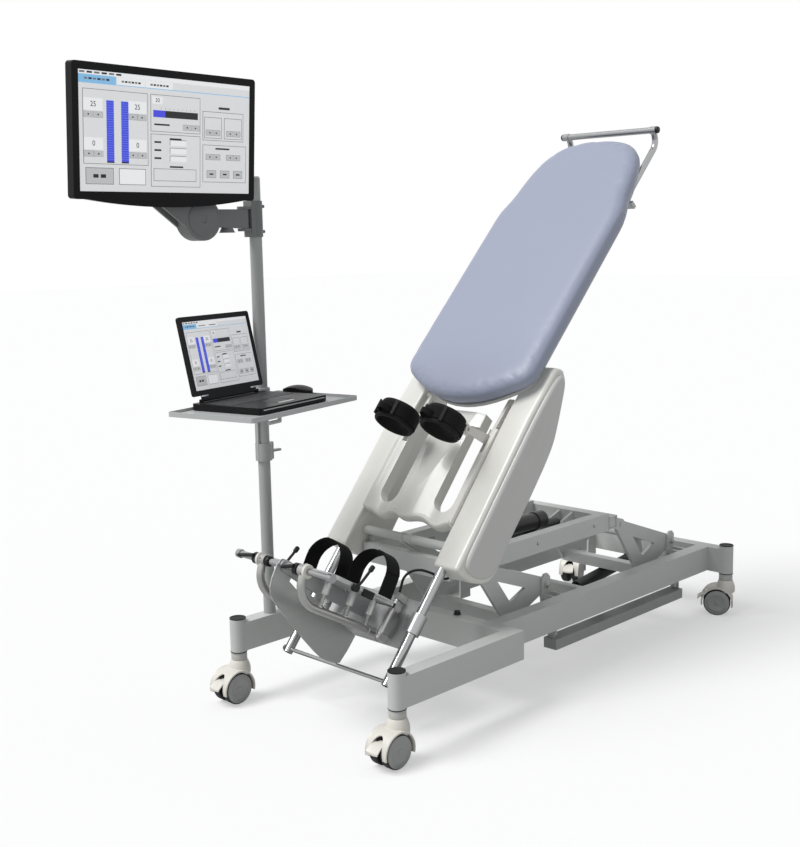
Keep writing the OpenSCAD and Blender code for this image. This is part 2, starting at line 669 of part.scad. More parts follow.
module link_x(z1, z0) {
    box_at([-bar_t, -beam_w / 4, z0], [bar_t, beam_w / 4, z1]);
    translate([-bar_t * 2, 0, z1]) rotate([0, 90, 0]) cylinder(r=beam_w / 5, h=bar_t * 4);
}
module bar_bore(x) translate([x - bar_t * 4, 0, bar_hinge.y]) rotate([0, 90, 0])
    cylinder(r=bar_pin_r + fit, h=bar_t * 8);

// Leg section
// Corner cutting: each edge keeps its middle half, so that the outline runs round its corners
function cut(p) = concat([p[0]], [for (i = [0 : len(p) - 2]) each
    [p[i] * 0.75 + p[i + 1] * 0.25, p[i] * 0.25 + p[i + 1] * 0.75]], [p[len(p) - 1]]);
casing_outline = [[371, 0], [369, -38], [376, -89], [404, -150], [446, -172], [547, -164],
    [709, -168], [890, -165], [1039, -107], [1094, -81], [1112, -45]];
back_plane = -tan(back_drop);
casing_end = 1034;
function casing_top(s) = (s - back_s) * back_plane - skin;
casing_side = concat([[371, 0]], cut(cut([for (i = [1 : 10]) casing_outline[i]])),
    [[casing_end + 60, casing_top(casing_end + 60)], [back_s, -skin], [back_s - skin, 0]]);
drive_s = 960;
drive_n = -30;
tube_bore_end = 740;
module casing() {
    difference() {
        union() {
            plate_y(casing_side, casing_in, casing_out);
            hull() {
                plate_y([for (p = casing_side) [p.x, min(p.y, -skin)]], casing_out - over,
                    panel_out - panel_round);
                plate_y([for (p = casing_side) panel_mid + (p - panel_mid) * panel_share],
                    casing_out, panel_out);
            }
        }
        translate([0, leg_tube_half, -leg_tube_n]) rotate([0, 90, 0])
            cylinder(r=leg_tube_r + fit, h=tube_bore_end);
        disc_y([tilt_s, tilt_n], tilt_pin_r + fit, casing_in - over, casing_in + frame_w + gap);
        disc_y([drive_s, drive_n], drive_shaft_r + fit, casing_in - over, casing_in + frame_w);
        disc_y([tilt_s, tie_n], tie_r + fit, casing_in - over, casing_in + tie_seat);
        // Long flute pressed into the side panel
        translate([(casing_outline[4].x + casing_end) / 2, panel_out + over, -panel_round * 4.6])
            rotate([0, 90, 0]) cylinder(r=panel_round * 0.6, h=panel_round * 18, center=true);
    }
}
panel_mid = [740, -78];
panel_share = 0.93;
tie_n = -50;
tie_r = 14;
tie_seat = 15;
module casing_left() color([0.78, 0.79, 0.76]) place() leg_place() casing();
module casing_right() color([0.78, 0.79, 0.76]) place() leg_place() mirror([0, 1, 0]) casing();

// Moulded cover between the casings: two leg troughs, centre ridge, wavy lower lip
cover_half = casing_in - gap;
cover_s0 = 500;
cover_s1 = 900;
slot_mid = 116;
slot_s0 = 545;
function lip(y) = cover_s0 + lip_depth * (0.5 - 0.5 * cos(2 * 180 * abs(y) / slot_mid));
lip_depth = 13;
function trough(y) = ridge_h - ridge_h * 1.4 * pow(sin(90 * min(1, abs(y) / slot_mid)), 2)
    + ridge_h * 0.9 * pow(max(0, (abs(y) - slot_mid) / (cover_half - slot_mid)), 2);
ridge_h = 20;
cover_steps = 24;
module cover_section() polygon(concat(
    [for (i = [-cover_steps : cover_steps]) let (y = cover_half * i / cover_steps) [y, trough(y)]],
    [for (i = [cover_steps : -1 : -cover_steps]) let (y = cover_half * i / cover_steps)
        [y, trough(y) - cover_t]]));
module leg_cover() color([0.88, 0.88, 0.85]) place() leg_place() difference() {
    translate([cover_s0 - lip_depth, 0, 0]) rotate([90, 0, 90])
        linear_extrude(cover_s1 - cover_s0 + lip_depth) cover_section();
    // Wavy lip across the lower end
    translate([0, 0, -3 * cover_t]) linear_extrude(6 * cover_t) polygon(concat(
        [[0, -2 * cover_half], [0, 2 * cover_half]],
        [for (i = [cover_steps : -1 : -cover_steps]) let (y = (cover_half + over) * i / cover_steps)
            [lip(y), y]]));
    // Plane of the back section
    translate([back_s, 0, -2 * gap]) rotate([0, back_drop, 0]) translate([-slot_len, -2 * cover_half, 0])
        cube([2 * slot_len, 4 * cover_half, 2 * cover_t]);
    both_sides() {
        slot_cut(slot_s0 + slot_w / 2, slot_s0 + slot_len, slot_mid);
        // Pocket of the drive arm beside the upper end of the slot
        box_at([slot_s0 + slot_len - over, slot_mid - slot_w * 0.1, -3 * cover_t],
            [cover_s1 + over, cover_half + over, 3 * cover_t]);
        box_at([drive_lug_s - drive_reach, drive_bar_in - 4 * gap, -3 * cover_t],
            [cover_s1 + over, drive_bar_in + drive_bar_w + 4 * gap, 3 * cover_t]);
    }
}
module slot_cut(s0, s1, y) translate([0, y, -3 * cover_t]) {
    translate([s0, 0, 0]) cylinder(r=slot_w / 2, h=6 * cover_t);
    translate([s0, -slot_w / 2, 0]) cube([s1 - s0, slot_w, 6 * cover_t]);
}

// Cross tube between the casings with the tilt lever
lever_t = 12;
lever_b = turn2([1, 0] * tilt_lever, tilt_lever_angle - tilt_rest) + [tilt_s, tilt_n];
module tilt_crossmember() color([0.45, 0.46, 0.47]) place() leg_place() {
    disc_y([tilt_s, tie_n], tie_r, -casing_in - tie_seat + gap, casing_in + tie_seat - gap);
    both_sides() difference() {
        link_y([tilt_s, tie_n], lever_b, tie_r + over, pin_r * 1.6, screw_rod_r + gap,
            screw_rod_r + gap + lever_t);
        disc_y(lever_b, pin_r - over, 0, screw_rod_r + lever_t);
    }
    disc_y(lever_b, pin_r, -screw_rod_r - gap - lever_t, screw_rod_r + gap + lever_t);
}

// Back section
// Half width of the cushion along its length, as shares of length and half width
edge_share = [[0.000, 0.08], [0.004, 0.22], [0.012, 0.37], [0.026, 0.53], [0.043, 0.68], [0.060, 0.81],
    [0.075, 0.91], [0.092, 0.97], [0.112, 0.995], [0.150, 1.00], [0.350, 1.00], [0.550, 1.00],
    [0.670, 1.00], [0.700, 0.99], [0.726, 0.96], [0.752, 0.925], [0.780, 0.90], [0.815, 0.878],
    [0.850, 0.85], [0.885, 0.81], [0.915, 0.765], [0.940, 0.705], [0.962, 0.62], [0.979, 0.52],
    [0.990, 0.40], [0.997, 0.26], [1.000, 0.11]];
edge_n = len(edge_share);
function outline_at(k) = let (p = k < edge_n ? edge_share[k] : edge_share[2 * edge_n - 1 - k])
    [p.x * cushion_len, (k < edge_n ? -1 : 1) * p.y * cushion_half];
// Layers of the cushion: height and drawing-in, as shares of its thickness
layer_share = [[0.00, 0.34], [0.05, 0.17], [0.16, 0.06], [0.32, 0.01], [0.50, 0.00], [0.66, 0.02],
    [0.80, 0.09], [0.90, 0.22], [0.955, 0.42], [0.985, 0.80]];
cushion_mid = cushion_len * 0.5;
function inset(k, d) = let (p = outline_at(k), m = [cushion_mid, 0],
        wx = (cushion_len / 2 - d) / (cushion_len / 2), wy = (cushion_half - d) / cushion_half)
    [m.x + (p.x - m.x) * wx, p.y * wy];
layers_n = len(layer_share);
ring_n = 2 * edge_n;
crown_share = [[0.72, 1.00], [0.36, 1.05]];
function ring_points(j) = [for (k = [0 : ring_n - 1])
    let (q = inset(k, layer_share[j][1] * cushion_t)) [q.x, q.y, layer_share[j][0] * cushion_t]];
function crown_points(c) = [for (k = [0 : ring_n - 1])
    let (q = outline_at(k), m = [cushion_mid, 0], r = m + (q - m) * c[0])
    [r.x, r.y, c[1] * cushion_t]];
cushion_points = concat([for (j = [0 : layers_n - 1]) each ring_points(j)],
    [for (c = crown_share) each crown_points(c)],
    [[cushion_mid, 0, cushion_t * 1.06], [cushion_mid, 0, 0]]);
all_rings = layers_n + len(crown_share);
cushion_faces = concat([for (j = [0 : all_rings - 2]) for (k = [0 : ring_n - 1])
        let (a = j * ring_n + k, b = j * ring_n + (k + 1) % ring_n)
        each [[a, a + ring_n, b], [b, a + ring_n, b + ring_n]]],
    [for (k = [0 : ring_n - 1]) [(all_rings - 1) * ring_n + k, all_rings * ring_n,
        (all_rings - 1) * ring_n + (k + 1) % ring_n]],
    [for (k = [0 : ring_n - 1]) [k, (k + 1) % ring_n, all_rings * ring_n + 1]]);
module cushion() color([0.62, 0.65, 0.78]) place() back_place() translate([0, 0, board_t + 2 * skin])
    polyhedron(cushion_points, cushion_faces, convexity=4);

board_share = 0.9;
rail_r = 11;
rail_y = 180;
rail_m = -rail_r - 4 * gap;
module back_board() color([0.60, 0.62, 0.61]) place() back_place() difference() {
    union() {
        linear_extrude(board_t) polygon([for (k = [0 : ring_n - 1])
            let (p = outline_at(k)) [cushion_mid + (p.x - cushion_mid) * 0.985, p.y * board_share]]);
        both_sides() {
            translate([board_rail_t0, rail_y, rail_m]) rotate([0, 90, 0])
                cylinder(r=rail_r + 2 * over, h=cushion_len * 0.5);
            box_at([board_rail_t0, rail_y - rail_r, rail_m], [board_rail_t0 + cushion_len * 0.5,
                rail_y + rail_r, over]);
        }
        box_at([flat_bar_t, -cushion_half * 0.85, rail_m - rail_r],
            [flat_bar_t + 6 * over, cushion_half * 0.85, over]);
    }
    both_sides() translate([board_rail_t0 + handle_in, rail_y, rail_m]) rotate([0, 90, 0])
        cylinder(r=rail_r + fit, h=cushion_len);
}
board_rail_t0 = cushion_len * 0.3;
handle_in = cushion_len * 0.3;
flat_bar_t = cushion_len * 0.775;
handle_t = 1206;
handle_m = 37;
handle_bend = 44;
cap_len = 24;
module push_handle() color([0.80, 0.82, 0.83]) place() back_place() {
    translate([handle_t, 0, handle_m]) {
        bar_y(handle_r, -handle_half + cap_len - over, handle_half - cap_len + over);
        both_sides() bar_y(handle_r + over, handle_half - cap_len, handle_half);
    }
    both_sides() {
        translate([handle_t, rail_y, rail_m + handle_bend - skin])
            cylinder(r=handle_r / bead / bead, h=handle_m - rail_m - handle_bend + skin);
        translate([handle_t - handle_bend, rail_y, rail_m + handle_bend]) rotate([90, 0, 0])
            rotate([0, 0, -90]) rotate_extrude(angle=90) translate([handle_bend, 0]) circle(r=handle_r / bead);
        translate([board_rail_t0 + handle_in + gap, rail_y, rail_m]) rotate([0, 90, 0])
            cylinder(r=handle_r, h=handle_t - handle_bend - board_rail_t0 - handle_in - gap + skin);
    }
}

// Thigh drives
drive_bar_in = 158;
drive_lug_s = 787;
drive_lug_n = 92;
drive_reach = 24;
lug_pin_r = 6;
module drive_arm() {
    difference() {
        union() {
            disc_y([drive_s, drive_n], drive_shaft_r, drive_bar_in + over, casing_in + frame_w - gap);
            link_y([drive_s, drive_n], [drive_lug_s + 26, drive_n + 14], drive_shaft_r * 1.2,
                drive_shaft_r, drive_bar_in, drive_bar_in + drive_bar_w);
            link_y([drive_lug_s + 26, drive_n + 14], [drive_lug_s, drive_lug_n], drive_shaft_r * 1.4,
                drive_shaft_r, drive_bar_in, drive_bar_in + drive_bar_w / 2);
        }
        for (i = [1 : 5]) disc_y([drive_s, drive_n] + ([drive_lug_s + 26 - drive_s, 14]) * i / 6,
            lug_pin_r / 2, drive_bar_in - over, drive_bar_in + drive_bar_w + over);
        disc_y([drive_lug_s, drive_lug_n], lug_pin_r + fit, drive_bar_in - over,
            drive_bar_in + drive_bar_w + over);
    }
}
module drive_arm_left() color([0.83, 0.83, 0.80]) place() leg_place() drive_arm();
module drive_arm_right() color([0.83, 0.83, 0.80]) place() leg_place() mirror([0, 1, 0]) drive_arm();

cuff_s = 775;
cuff_n = 135;
cuff_fn = 40;
module cuff() {
    difference() {
        union() {
            translate([cuff_s - cuff_len / 2, cuff_half, cuff_n]) rotate([0, 90, 0])
                rotate_extrude($fn=cuff_fn) cuff_profile();
            // Hinge plate on the outer side, with the pin of the drive arm
            box_at([drive_lug_s - drive_shaft_r, drive_bar_in - gap - lug_plate_t, drive_lug_n - drive_shaft_r],
                [drive_lug_s + drive_shaft_r, drive_bar_in - gap, cuff_n]);
            disc_y([drive_lug_s, drive_lug_n], lug_pin_r, drive_bar_in - gap - over,
                drive_bar_in + drive_bar_w / 2 + 2 * gap);
        }
        translate([cuff_s - cuff_len, cuff_half, cuff_n]) rotate([0, 90, 0])
            cylinder(r=cuff_r - cuff_wall, h=2 * cuff_len, $fn=cuff_fn);
    }
    // Buckle of the closing strap
    translate([cuff_s, cuff_half, cuff_n]) for (a = [60, 125])
        rotate([a, 0, 0]) box_at([-cuff_len * 0.36, -cuff_wall, cuff_r - over],
            [cuff_len * 0.36, cuff_wall * (a > 90 ? 1 : 0.2), cuff_r + strap_t]);
}
lug_plate_t = 6;
module cuff_profile() {
    h = cuff_len;
    c = cuff_wall * 0.4;
    polygon([[cuff_r - cuff_wall, c], [cuff_r - cuff_wall + c, 0], [cuff_r - c, 0], [cuff_r, c],
        [cuff_r, h - c], [cuff_r - c, h], [cuff_r - cuff_wall + c, h], [cuff_r - cuff_wall, h - c]]);
}
module cuff_left() color([0.05, 0.05, 0.05]) place() leg_place() cuff();
module cuff_right() color([0.05, 0.05, 0.05]) place() leg_place() mirror([0, 1, 0]) cuff();

// Foot unit
end_rod_r = 6;
clamp_s = 190;
clamp_len_s = 60;
module leg_tubes() color([0.82, 0.84, 0.85]) place() leg_place() {
    both_sides() difference() {
        translate([-end_rod_r, leg_tube_half, -leg_tube_n]) rotate([0, 90, 0])
            cylinder(r=leg_tube_r, h=leg_tube_end + end_rod_r);
        translate([-end_rod_r - over, leg_tube_half, -leg_tube_n]) rotate([0, 90, 0])
            cylinder(r=leg_tube_r * 0.8, h=leg_tube_r * 2);
    }
    translate([end_rod_r, 0, -leg_tube_n]) {
        bar_y(end_rod_r, -leg_tube_half - leg_tube_r - end_rod_r, leg_tube_half + leg_tube_r + end_rod_r);
        both_sides() bar_y(end_rod_r * 1.5, leg_tube_half + leg_tube_r,
            leg_tube_half + leg_tube_r + end_rod_r);
    }
}
leg_tube_end = 560;
carriage_t = 10;
carriage_n = -36;
carriage_s0 = 112;
carriage_s1 = 262;
module foot_carriage() color([0.70, 0.71, 0.70]) place() leg_place() {
    box_at([carriage_s0, -leg_tube_half + leg_tube_r + over, carriage_n],
        [carriage_s1, leg_tube_half - leg_tube_r - over, carriage_n + carriage_t]);
    both_sides() difference() {
        translate([clamp_s - clamp_len_s / 2, leg_tube_half, -leg_tube_n]) rotate([0, 90, 0])
            cylinder(r=leg_tube_r + carriage_t * 0.8, h=clamp_len_s);
        translate([clamp_s - clamp_len_s, leg_tube_half, -leg_tube_n]) rotate([0, 90, 0])
            cylinder(r=leg_tube_r + fit, h=2 * clamp_len_s);
    }
    // Two uprights that carry the cross shaft
    both_sides() difference() {
        union() {
            plate_y([[shaft_s + shaft_r * 2, carriage_n + carriage_t - over],
                [shaft_s + shaft_r * 8, carriage_n + carriage_t - over], [shaft_s + shaft_r * 2.4, shaft_n - foot_len / 2],
                [shaft_s + shaft_r * 1.7, shaft_n], [shaft_s - shaft_r * 1.7, shaft_n],
                [shaft_s - shaft_r * 1.2, shaft_n - foot_len / 2]],
                guard_t / 2 + gap, guard_t / 2 + gap + upright_t);
            disc_y([shaft_s, shaft_n], shaft_r * 1.7, guard_t / 2 + gap, guard_t / 2 + gap + upright_t);
        }
        disc_y([shaft_s, shaft_n], shaft_r + skin, 0, carriage_t * 2);
    }
}
upright_t = 6;
shaft_s = 150;
shaft_n = 345;
// Guard plate: a bowed sheet along the middle plane with a window under the shaft
guard_outline = [[143, 370], [100, 363], [76, 353], [62, 341], [50, 318], [42, 290], [33, 253], [24, 215],
    [12, 153], [1, 92], [-3, 58], [-1, 25], [6, -2], [16, -26], [60, -32], [110, -34], [116, 60], [128, 200], [158, 330]];
guard_window = [[112, 240], [134, 240], [146, 300], [122, 300]];
module foot_guard() color([0.60, 0.61, 0.60]) place() leg_place() difference() {
    plate_y(guard_outline, -guard_t / 2, guard_t / 2);
    plate_y(guard_window, -guard_t, guard_t);
    disc_y([shaft_s, shaft_n], shaft_r + skin, -guard_t, guard_t);
}
module foot_shaft() color([0.82, 0.84, 0.85]) place() leg_place() {
    disc_y([shaft_s, shaft_n], shaft_r, -shaft_half, shaft_half);
    both_sides() disc_y([shaft_s, shaft_n], shaft_r * 1.3, shaft_half - shaft_r, shaft_half + shaft_r / 2);
}
collar_r = 19;
collar_w = 40;
sole_lean = 9.4;
// Collar on the shaft and the J-shaped pipe that runs back under the foot
bead = 1.015;
pipe_a = [79, 255];
pipe_b = [131, -6];
module foot_link() {
    difference() {
        union() {
            disc_y([shaft_s, shaft_n], collar_r, pipe_half - collar_w / 2, pipe_half + collar_w / 2);
            strut([shaft_s, pipe_half, shaft_n], [pipe_a.x + 20, pipe_half, pipe_a.y + 66], pipe_r);
            translate([pipe_a.x + 20, pipe_half, pipe_a.y + 66]) sphere(r=pipe_r * bead);
            strut([pipe_a.x + 20, pipe_half, pipe_a.y + 66], [pipe_a.x, pipe_half, pipe_a.y], pipe_r);
            translate([pipe_a.x, pipe_half, pipe_a.y]) sphere(r=pipe_r * bead);
            strut([pipe_a.x, pipe_half, pipe_a.y], [pipe_b.x, pipe_half, pipe_b.y], pipe_r);
            // Guide posts of the sprung plate
            for (f = post_share) strut(concat_y(pipe_at(f), pipe_half),
                concat_y(pipe_at(f) + post_len * post_dir, pipe_half), post_r);
        }
        disc_y([shaft_s, shaft_n], shaft_r + fit, 0, pipe_half + collar_w);
    }
}
function concat_y(p, y) = [p.x, y, p.y];
post_share = [0.1, 0.5, 0.84];
post_len = 62;
post_dir = [cos(sole_lean), sin(sole_lean)];
post_r = 5;
module foot_link_left() color([0.70, 0.71, 0.70]) place() leg_place() foot_link();
module foot_link_right() color([0.70, 0.71, 0.70]) place() leg_place() mirror([0, 1, 0]) foot_link();

// Foot plate in its own plane, with three spring cups over the guide posts
toe = [165, 300];
sole_dir = [sin(sole_lean), -cos(sole_lean)];
cup_r = 11;
cup_len = 44;
module sole_place() translate([toe.x, foot_half, toe.y]) rotate([0, 90 - sole_lean, 0]) children();
module foot_plate() {
    difference() {
        union() {
            sole_place() {
                foot_panel();
                box_at([strap_d, strap_y - foot_half - strap_half, foot_t * 0.6],
                    [strap_d + strap_w, strap_y - foot_half + strap_half, foot_t]);
            }
            for (f = post_share) strut(concat_y(pipe_at(f) + post_dir * (plate_off(f) - cup_len), pipe_half),
                concat_y(pipe_at(f) + post_dir * (plate_off(f) + over), pipe_half), cup_r);
        }
        for (f = post_share) strut(concat_y(pipe_at(f), pipe_half),
            concat_y(pipe_at(f) + post_dir * (post_len + post_slack), pipe_half), post_r + fit);
    }
}
post_slack = 18;
function pipe_at(f) = pipe_a + (pipe_b - pipe_a) * f;
function plate_off(f) = (toe - pipe_at(f)) * post_dir;
foot_round = 26;
module foot_panel() linear_extrude(foot_t) hull() {
    for (x = [foot_round, foot_len - foot_round]) for (y = [-foot_w / 2 + foot_round, foot_w / 2 - foot_round])
        translate([x, y]) circle(r=foot_round);
}
module foot_plate_left() color([0.72, 0.73, 0.72]) place() leg_place() foot_plate();
module foot_plate_right() color([0.72, 0.73, 0.72]) place() leg_place() mirror([0, 1, 0]) foot_plate();

strap_d = 176;
strap_rise = 124;
strap_half = 74;
strap_y = 98;
// Arched strap over the instep, standing on the plate's cross strip
module foot_strap() sole_place() translate([strap_d, strap_y - foot_half, foot_t + skin])
    rotate([90, 0, 90]) rotate([0, 0, 90]) difference() {
        strap_solid(strap_half, strap_rise, strap_w);
        translate([-over, 0, -over]) strap_solid(strap_half - strap_t, strap_rise - strap_t + over,
            strap_w + 2 * over);
    }
module strap_solid(half, rise, w) linear_extrude(w) polygon(concat([[0, -half], [rise * 0.45, -half * 0.98]],
    [for (a = [-75 : 15 : 75]) [rise * 0.45 + rise * 0.55 * cos(a), half * 0.98 * sin(a)]],
    [[rise * 0.45, half * 0.98], [0, half]]));
module foot_strap_left() color([0.04, 0.04, 0.04]) place() leg_place() foot_strap();
module foot_strap_right() color([0.04, 0.04, 0.04]) place() leg_place() mirror([0, 1, 0]) foot_strap();

// Clamp levers on the shaft beside the collars
clamp_w = 16;
module clamp_lever(y0, reach) {
    difference() {
        union() {
            disc_y([shaft_s, shaft_n], shaft_r * 1.7, y0, y0 + clamp_w);
            strut([shaft_s, y0 + clamp_w / 2, shaft_n + shaft_r * 1.9],
                [shaft_s - shaft_r, y0 + clamp_w / 2 + reach, shaft_n + shaft_r * 1.7], shaft_r * 0.55);
            translate([shaft_s - shaft_r, y0 + clamp_w / 2 + reach, shaft_n + shaft_r * 1.7])
                sphere(r=shaft_r * 0.55 * bead);
            strut([shaft_s, y0 + clamp_w / 2, shaft_n], [shaft_s, y0 + clamp_w / 2, shaft_n + shaft_r * 1.7],
                shaft_r * 0.7);
        }
        disc_y([shaft_s, shaft_n], shaft_r + fit, y0 - over, y0 + clamp_w + over);
    }
}
module clamp_lever_left() color([0.05, 0.05, 0.05]) place() leg_place()
    clamp_lever(pipe_half + collar_w / 2 + gap, clamp_len);
module clamp_lever_right() color([0.05, 0.05, 0.05]) place() leg_place()
    clamp_lever(-pipe_half + collar_w / 2 + gap, clamp_len * 0.7);

// Guide dampers along the bed on the carriage
damper_half = 127;
damper_r = 10;
damper_n = 4;
module guide_dampers() color([0.60, 0.61, 0.61]) place() leg_place() both_sides() {
    translate([carriage_s0 + gap, damper_half, damper_n]) rotate([0, 90, 0]) cylinder(r=damper_r, h=96);
    translate([carriage_s0 + gap, damper_half, damper_n]) rotate([0, 90, 0])
        cylinder(r=damper_r / 2, h=carriage_s1 - carriage_s0 - 2 * gap);
    for (s = [carriage_s0 + damper_r, carriage_s1 - damper_r])
        box_at([s - damper_r, damper_half - damper_r, carriage_n + carriage_t + skin],
            [s + damper_r - gap, damper_half + damper_r, damper_n + damper_r * 0.7]);
}

// Cable from the damper's head to the casing: its route, in the leg frame
cable_route = [[263, -127, 8], [282, -127, 14], [304, -132, 24], [326, -146, 26], [344, -166, 12],
    [352, -184, -14], [356, -198, -44], [361, -204, -62], [368, -206, -70]];
cable_r = 4;
cable_fn = 8;
function frame_of(t) = let (u = abs(t.z) < 0.9 ? cross(t, [0, 0, 1]) : cross(t, [0, 1, 0]), a = u / norm(u))
    [a, cross(t, a)];
function tangent(i) = let (n = len(cable_route), d = cable_route[min(n - 1, i + 1)] - cable_route[max(0, i - 1)])
    d / norm(d);
module drive_cable() color([0.05, 0.05, 0.05]) place() leg_place() {
    n = len(cable_route);
    points = [for (i = [0 : n - 1]) for (j = [0 : cable_fn - 1]) let (f = frame_of(tangent(i)), a = 360 * j / cable_fn)
        cable_route[i] + cable_r * (cos(a) * f[0] + sin(a) * f[1])];
    faces = concat([[for (j = [0 : cable_fn - 1]) j]], [[for (j = [cable_fn - 1 : -1 : 0]) (n - 1) * cable_fn + j]],
        [for (i = [0 : n - 2]) for (j = [0 : cable_fn - 1]) let (a = i * cable_fn + j,
            b = i * cable_fn + (j + 1) % cable_fn) each [[a, a + cable_fn, b], [b, a + cable_fn, b + cable_fn]]]);
    polyhedron(points, faces);
}

// Screen
link_z = 1479;
plate_z0 = 1425;
plate_z1 = 1532;
knuckle = [-82, 1479];
knuckle_r = 62;
link_t = 30;
swivel_r = 11;
swivel_x = pole_x - pole_r - 26;
module arm_bracket() color([0.42, 0.43, 0.43]) place() translate([0, column_half, 0]) difference() {
    union() {
        box_at([swivel_x + swivel_r * 1.5 + gap, -pole_r, plate_z0], [pole_x, pole_r, plate_z1]);
        translate([pole_x, 0, plate_z0]) cylinder(r=pole_r + tube_wall, h=plate_z1 - plate_z0);
        for (z = [link_z - link_h / 2 - ear_t - gap, link_z + link_h / 2 + gap]) {
            translate([swivel_x, 0, z]) cylinder(r=swivel_r * 1.6, h=ear_t);
            box_at([swivel_x, -swivel_r * 1.6, z], [swivel_x + swivel_r * 3, swivel_r * 1.6, z + ear_t]);
        }
        translate([swivel_x, 0, link_z - link_h / 2 - ear_t - gap])
            cylinder(r=swivel_r / 2, h=link_h + 2 * ear_t + 2 * gap);
        for (z = [plate_z0 + ear_t * 2, plate_z1 - ear_t * 2]) translate([pole_x + pole_r, 0, z])
            rotate([0, 90, 0]) cylinder(r=ear_t * 0.6, h=pole_r * 0.8);
    }
    translate([pole_x, 0, plate_z0 - over]) cylinder(r=pole_r + fit, h=plate_z1 - plate_z0 + 2 * over);
}
ear_t = 8;
link_h = 56;
module arm_link() color([0.42, 0.43, 0.43]) place() translate([0, column_half, 0]) difference() {
    union() {
        translate([swivel_x, 0, link_z - link_h / 2]) cylinder(r=swivel_r * 1.5, h=link_h);
        plate_y([[swivel_x, link_z - link_h / 2], [swivel_x, link_z + link_h / 2],
            [knuckle.x + knuckle_r / 2, link_z + link_h / 2], [knuckle.x, link_z + knuckle_r * 0.8],
            [knuckle.x, link_z - knuckle_r * 0.8],
            [knuckle.x + knuckle_r, link_z - link_h / 2 + ear_t / 2]], -swivel_r * 1.5, swivel_r * 1.5);
        disc_y(knuckle, knuckle_r, -swivel_r * 1.5, swivel_r * 1.5);
        translate([swivel_x - knuckle_r, 0, link_z - link_h / 2 - ear_t * 1.5])
            cylinder(r1=link_t * 0.8, r2=link_t * 0.5, h=ear_t * 2.2);
    }
    translate([swivel_x, 0, link_z - link_h / 2 - over]) cylinder(r=swivel_r / 2 + fit, h=link_h + 2 * over);
    disc_y(knuckle, lug_pin_r * 2 + fit, -swivel_r * 2, swivel_r * 2);
}
head_out = swivel_r * 1.5 + gap + ear_t;
vesa = 50;
module arm_head() color([0.38, 0.39, 0.39]) place() {
    translate([0, column_half, 0]) {
        disc_y(knuckle, lug_pin_r * 2, -head_out, head_out);
        for (s = [-1, 1]) mirror([0, s < 0 ? 1 : 0, 0]) {
            disc_y(knuckle, knuckle_r, head_out - ear_t, head_out);
            plate_y([knuckle + knuckle_r * [-0.9, -0.4], [screen_at.x - vesa / 2, knuckle.y + knuckle_r * 0.9],
                [screen_at.x - vesa / 2, head_z], [screen_at.x + vesa / 2, head_z],
                [screen_at.x + vesa, knuckle.y + knuckle_r * 1.5], knuckle + knuckle_r * [0.1, 0.98]],
                head_out - ear_t, head_out);
        }
    }
    // Riser from the knuckle to the plate on the screen's back
    box_at([screen_at.x - vesa / 2, column_half - head_out, head_z - ear_t],
        [screen_at.x + vesa / 2, column_half + head_out, head_z]);
    screen_place() translate([0, screen_t / 2 + gap, 0])
        box_at([-vesa, 0, -vesa], [vesa, ear_t / 2, vesa]);
    box_at([screen_at.x - vesa / 3, screen_at.y + screen_t / 2 + ear_t * 0.75, screen_at.z - vesa],
        [screen_at.x + vesa / 3, column_half - head_out + ear_t, head_z]);
}
head_z = screen_at.z + vesa / 2;
chin = 20;
module screen_place() translate(screen_at) rotate([0, 0, screen_yaw]) rotate([screen_pitch, 0, 0]) children();
module rounded(w, h, r) hull() for (x = [-1, 1]) for (y = [-1, 1])
    translate([x * (w / 2 - r), y * (h / 2 - r)]) circle(r=r);
panel_recess = 3;
panel_w = screen_w - 2 * bezel;
panel_h = screen_h - 2 * bezel;
module screen_housing() color([0.05, 0.05, 0.06]) place() screen_place() difference() {
    union() {
        translate([0, screen_t / 2, 0]) rotate([90, 0, 0]) linear_extrude(screen_t)
            rounded(screen_w, screen_h, screen_round);
        // Chin that bows down in the middle
        intersection() {
            translate([0, screen_t / 2, -screen_h / 2 + chin_r - chin]) rotate([90, 0, 0])
                cylinder(r=chin_r, h=screen_t, $fn=200);
            box_at([-screen_w / 2 + screen_round, -screen_t, -screen_h / 2 - chin],
                [screen_w / 2 - screen_round, screen_t, -screen_h / 2 + bezel]);
        }
    }
    translate([0, -screen_t / 2 + panel_recess, 0]) rotate([90, 0, 0]) linear_extrude(panel_recess + over)
        rounded(panel_w, panel_h, over);
}
chin_r = (screen_w * screen_w / 16 + chin * chin) / chin / 2 * 3;
module screen_panel() color([0.85, 0.87, 0.90]) place() screen_place()
    translate([0, -screen_t / 2 + panel_recess - skin, 0]) rotate([90, 0, 0])
        linear_extrude(panel_recess / 2) rounded(panel_w - 2 * gap, panel_h - 2 * gap, over);

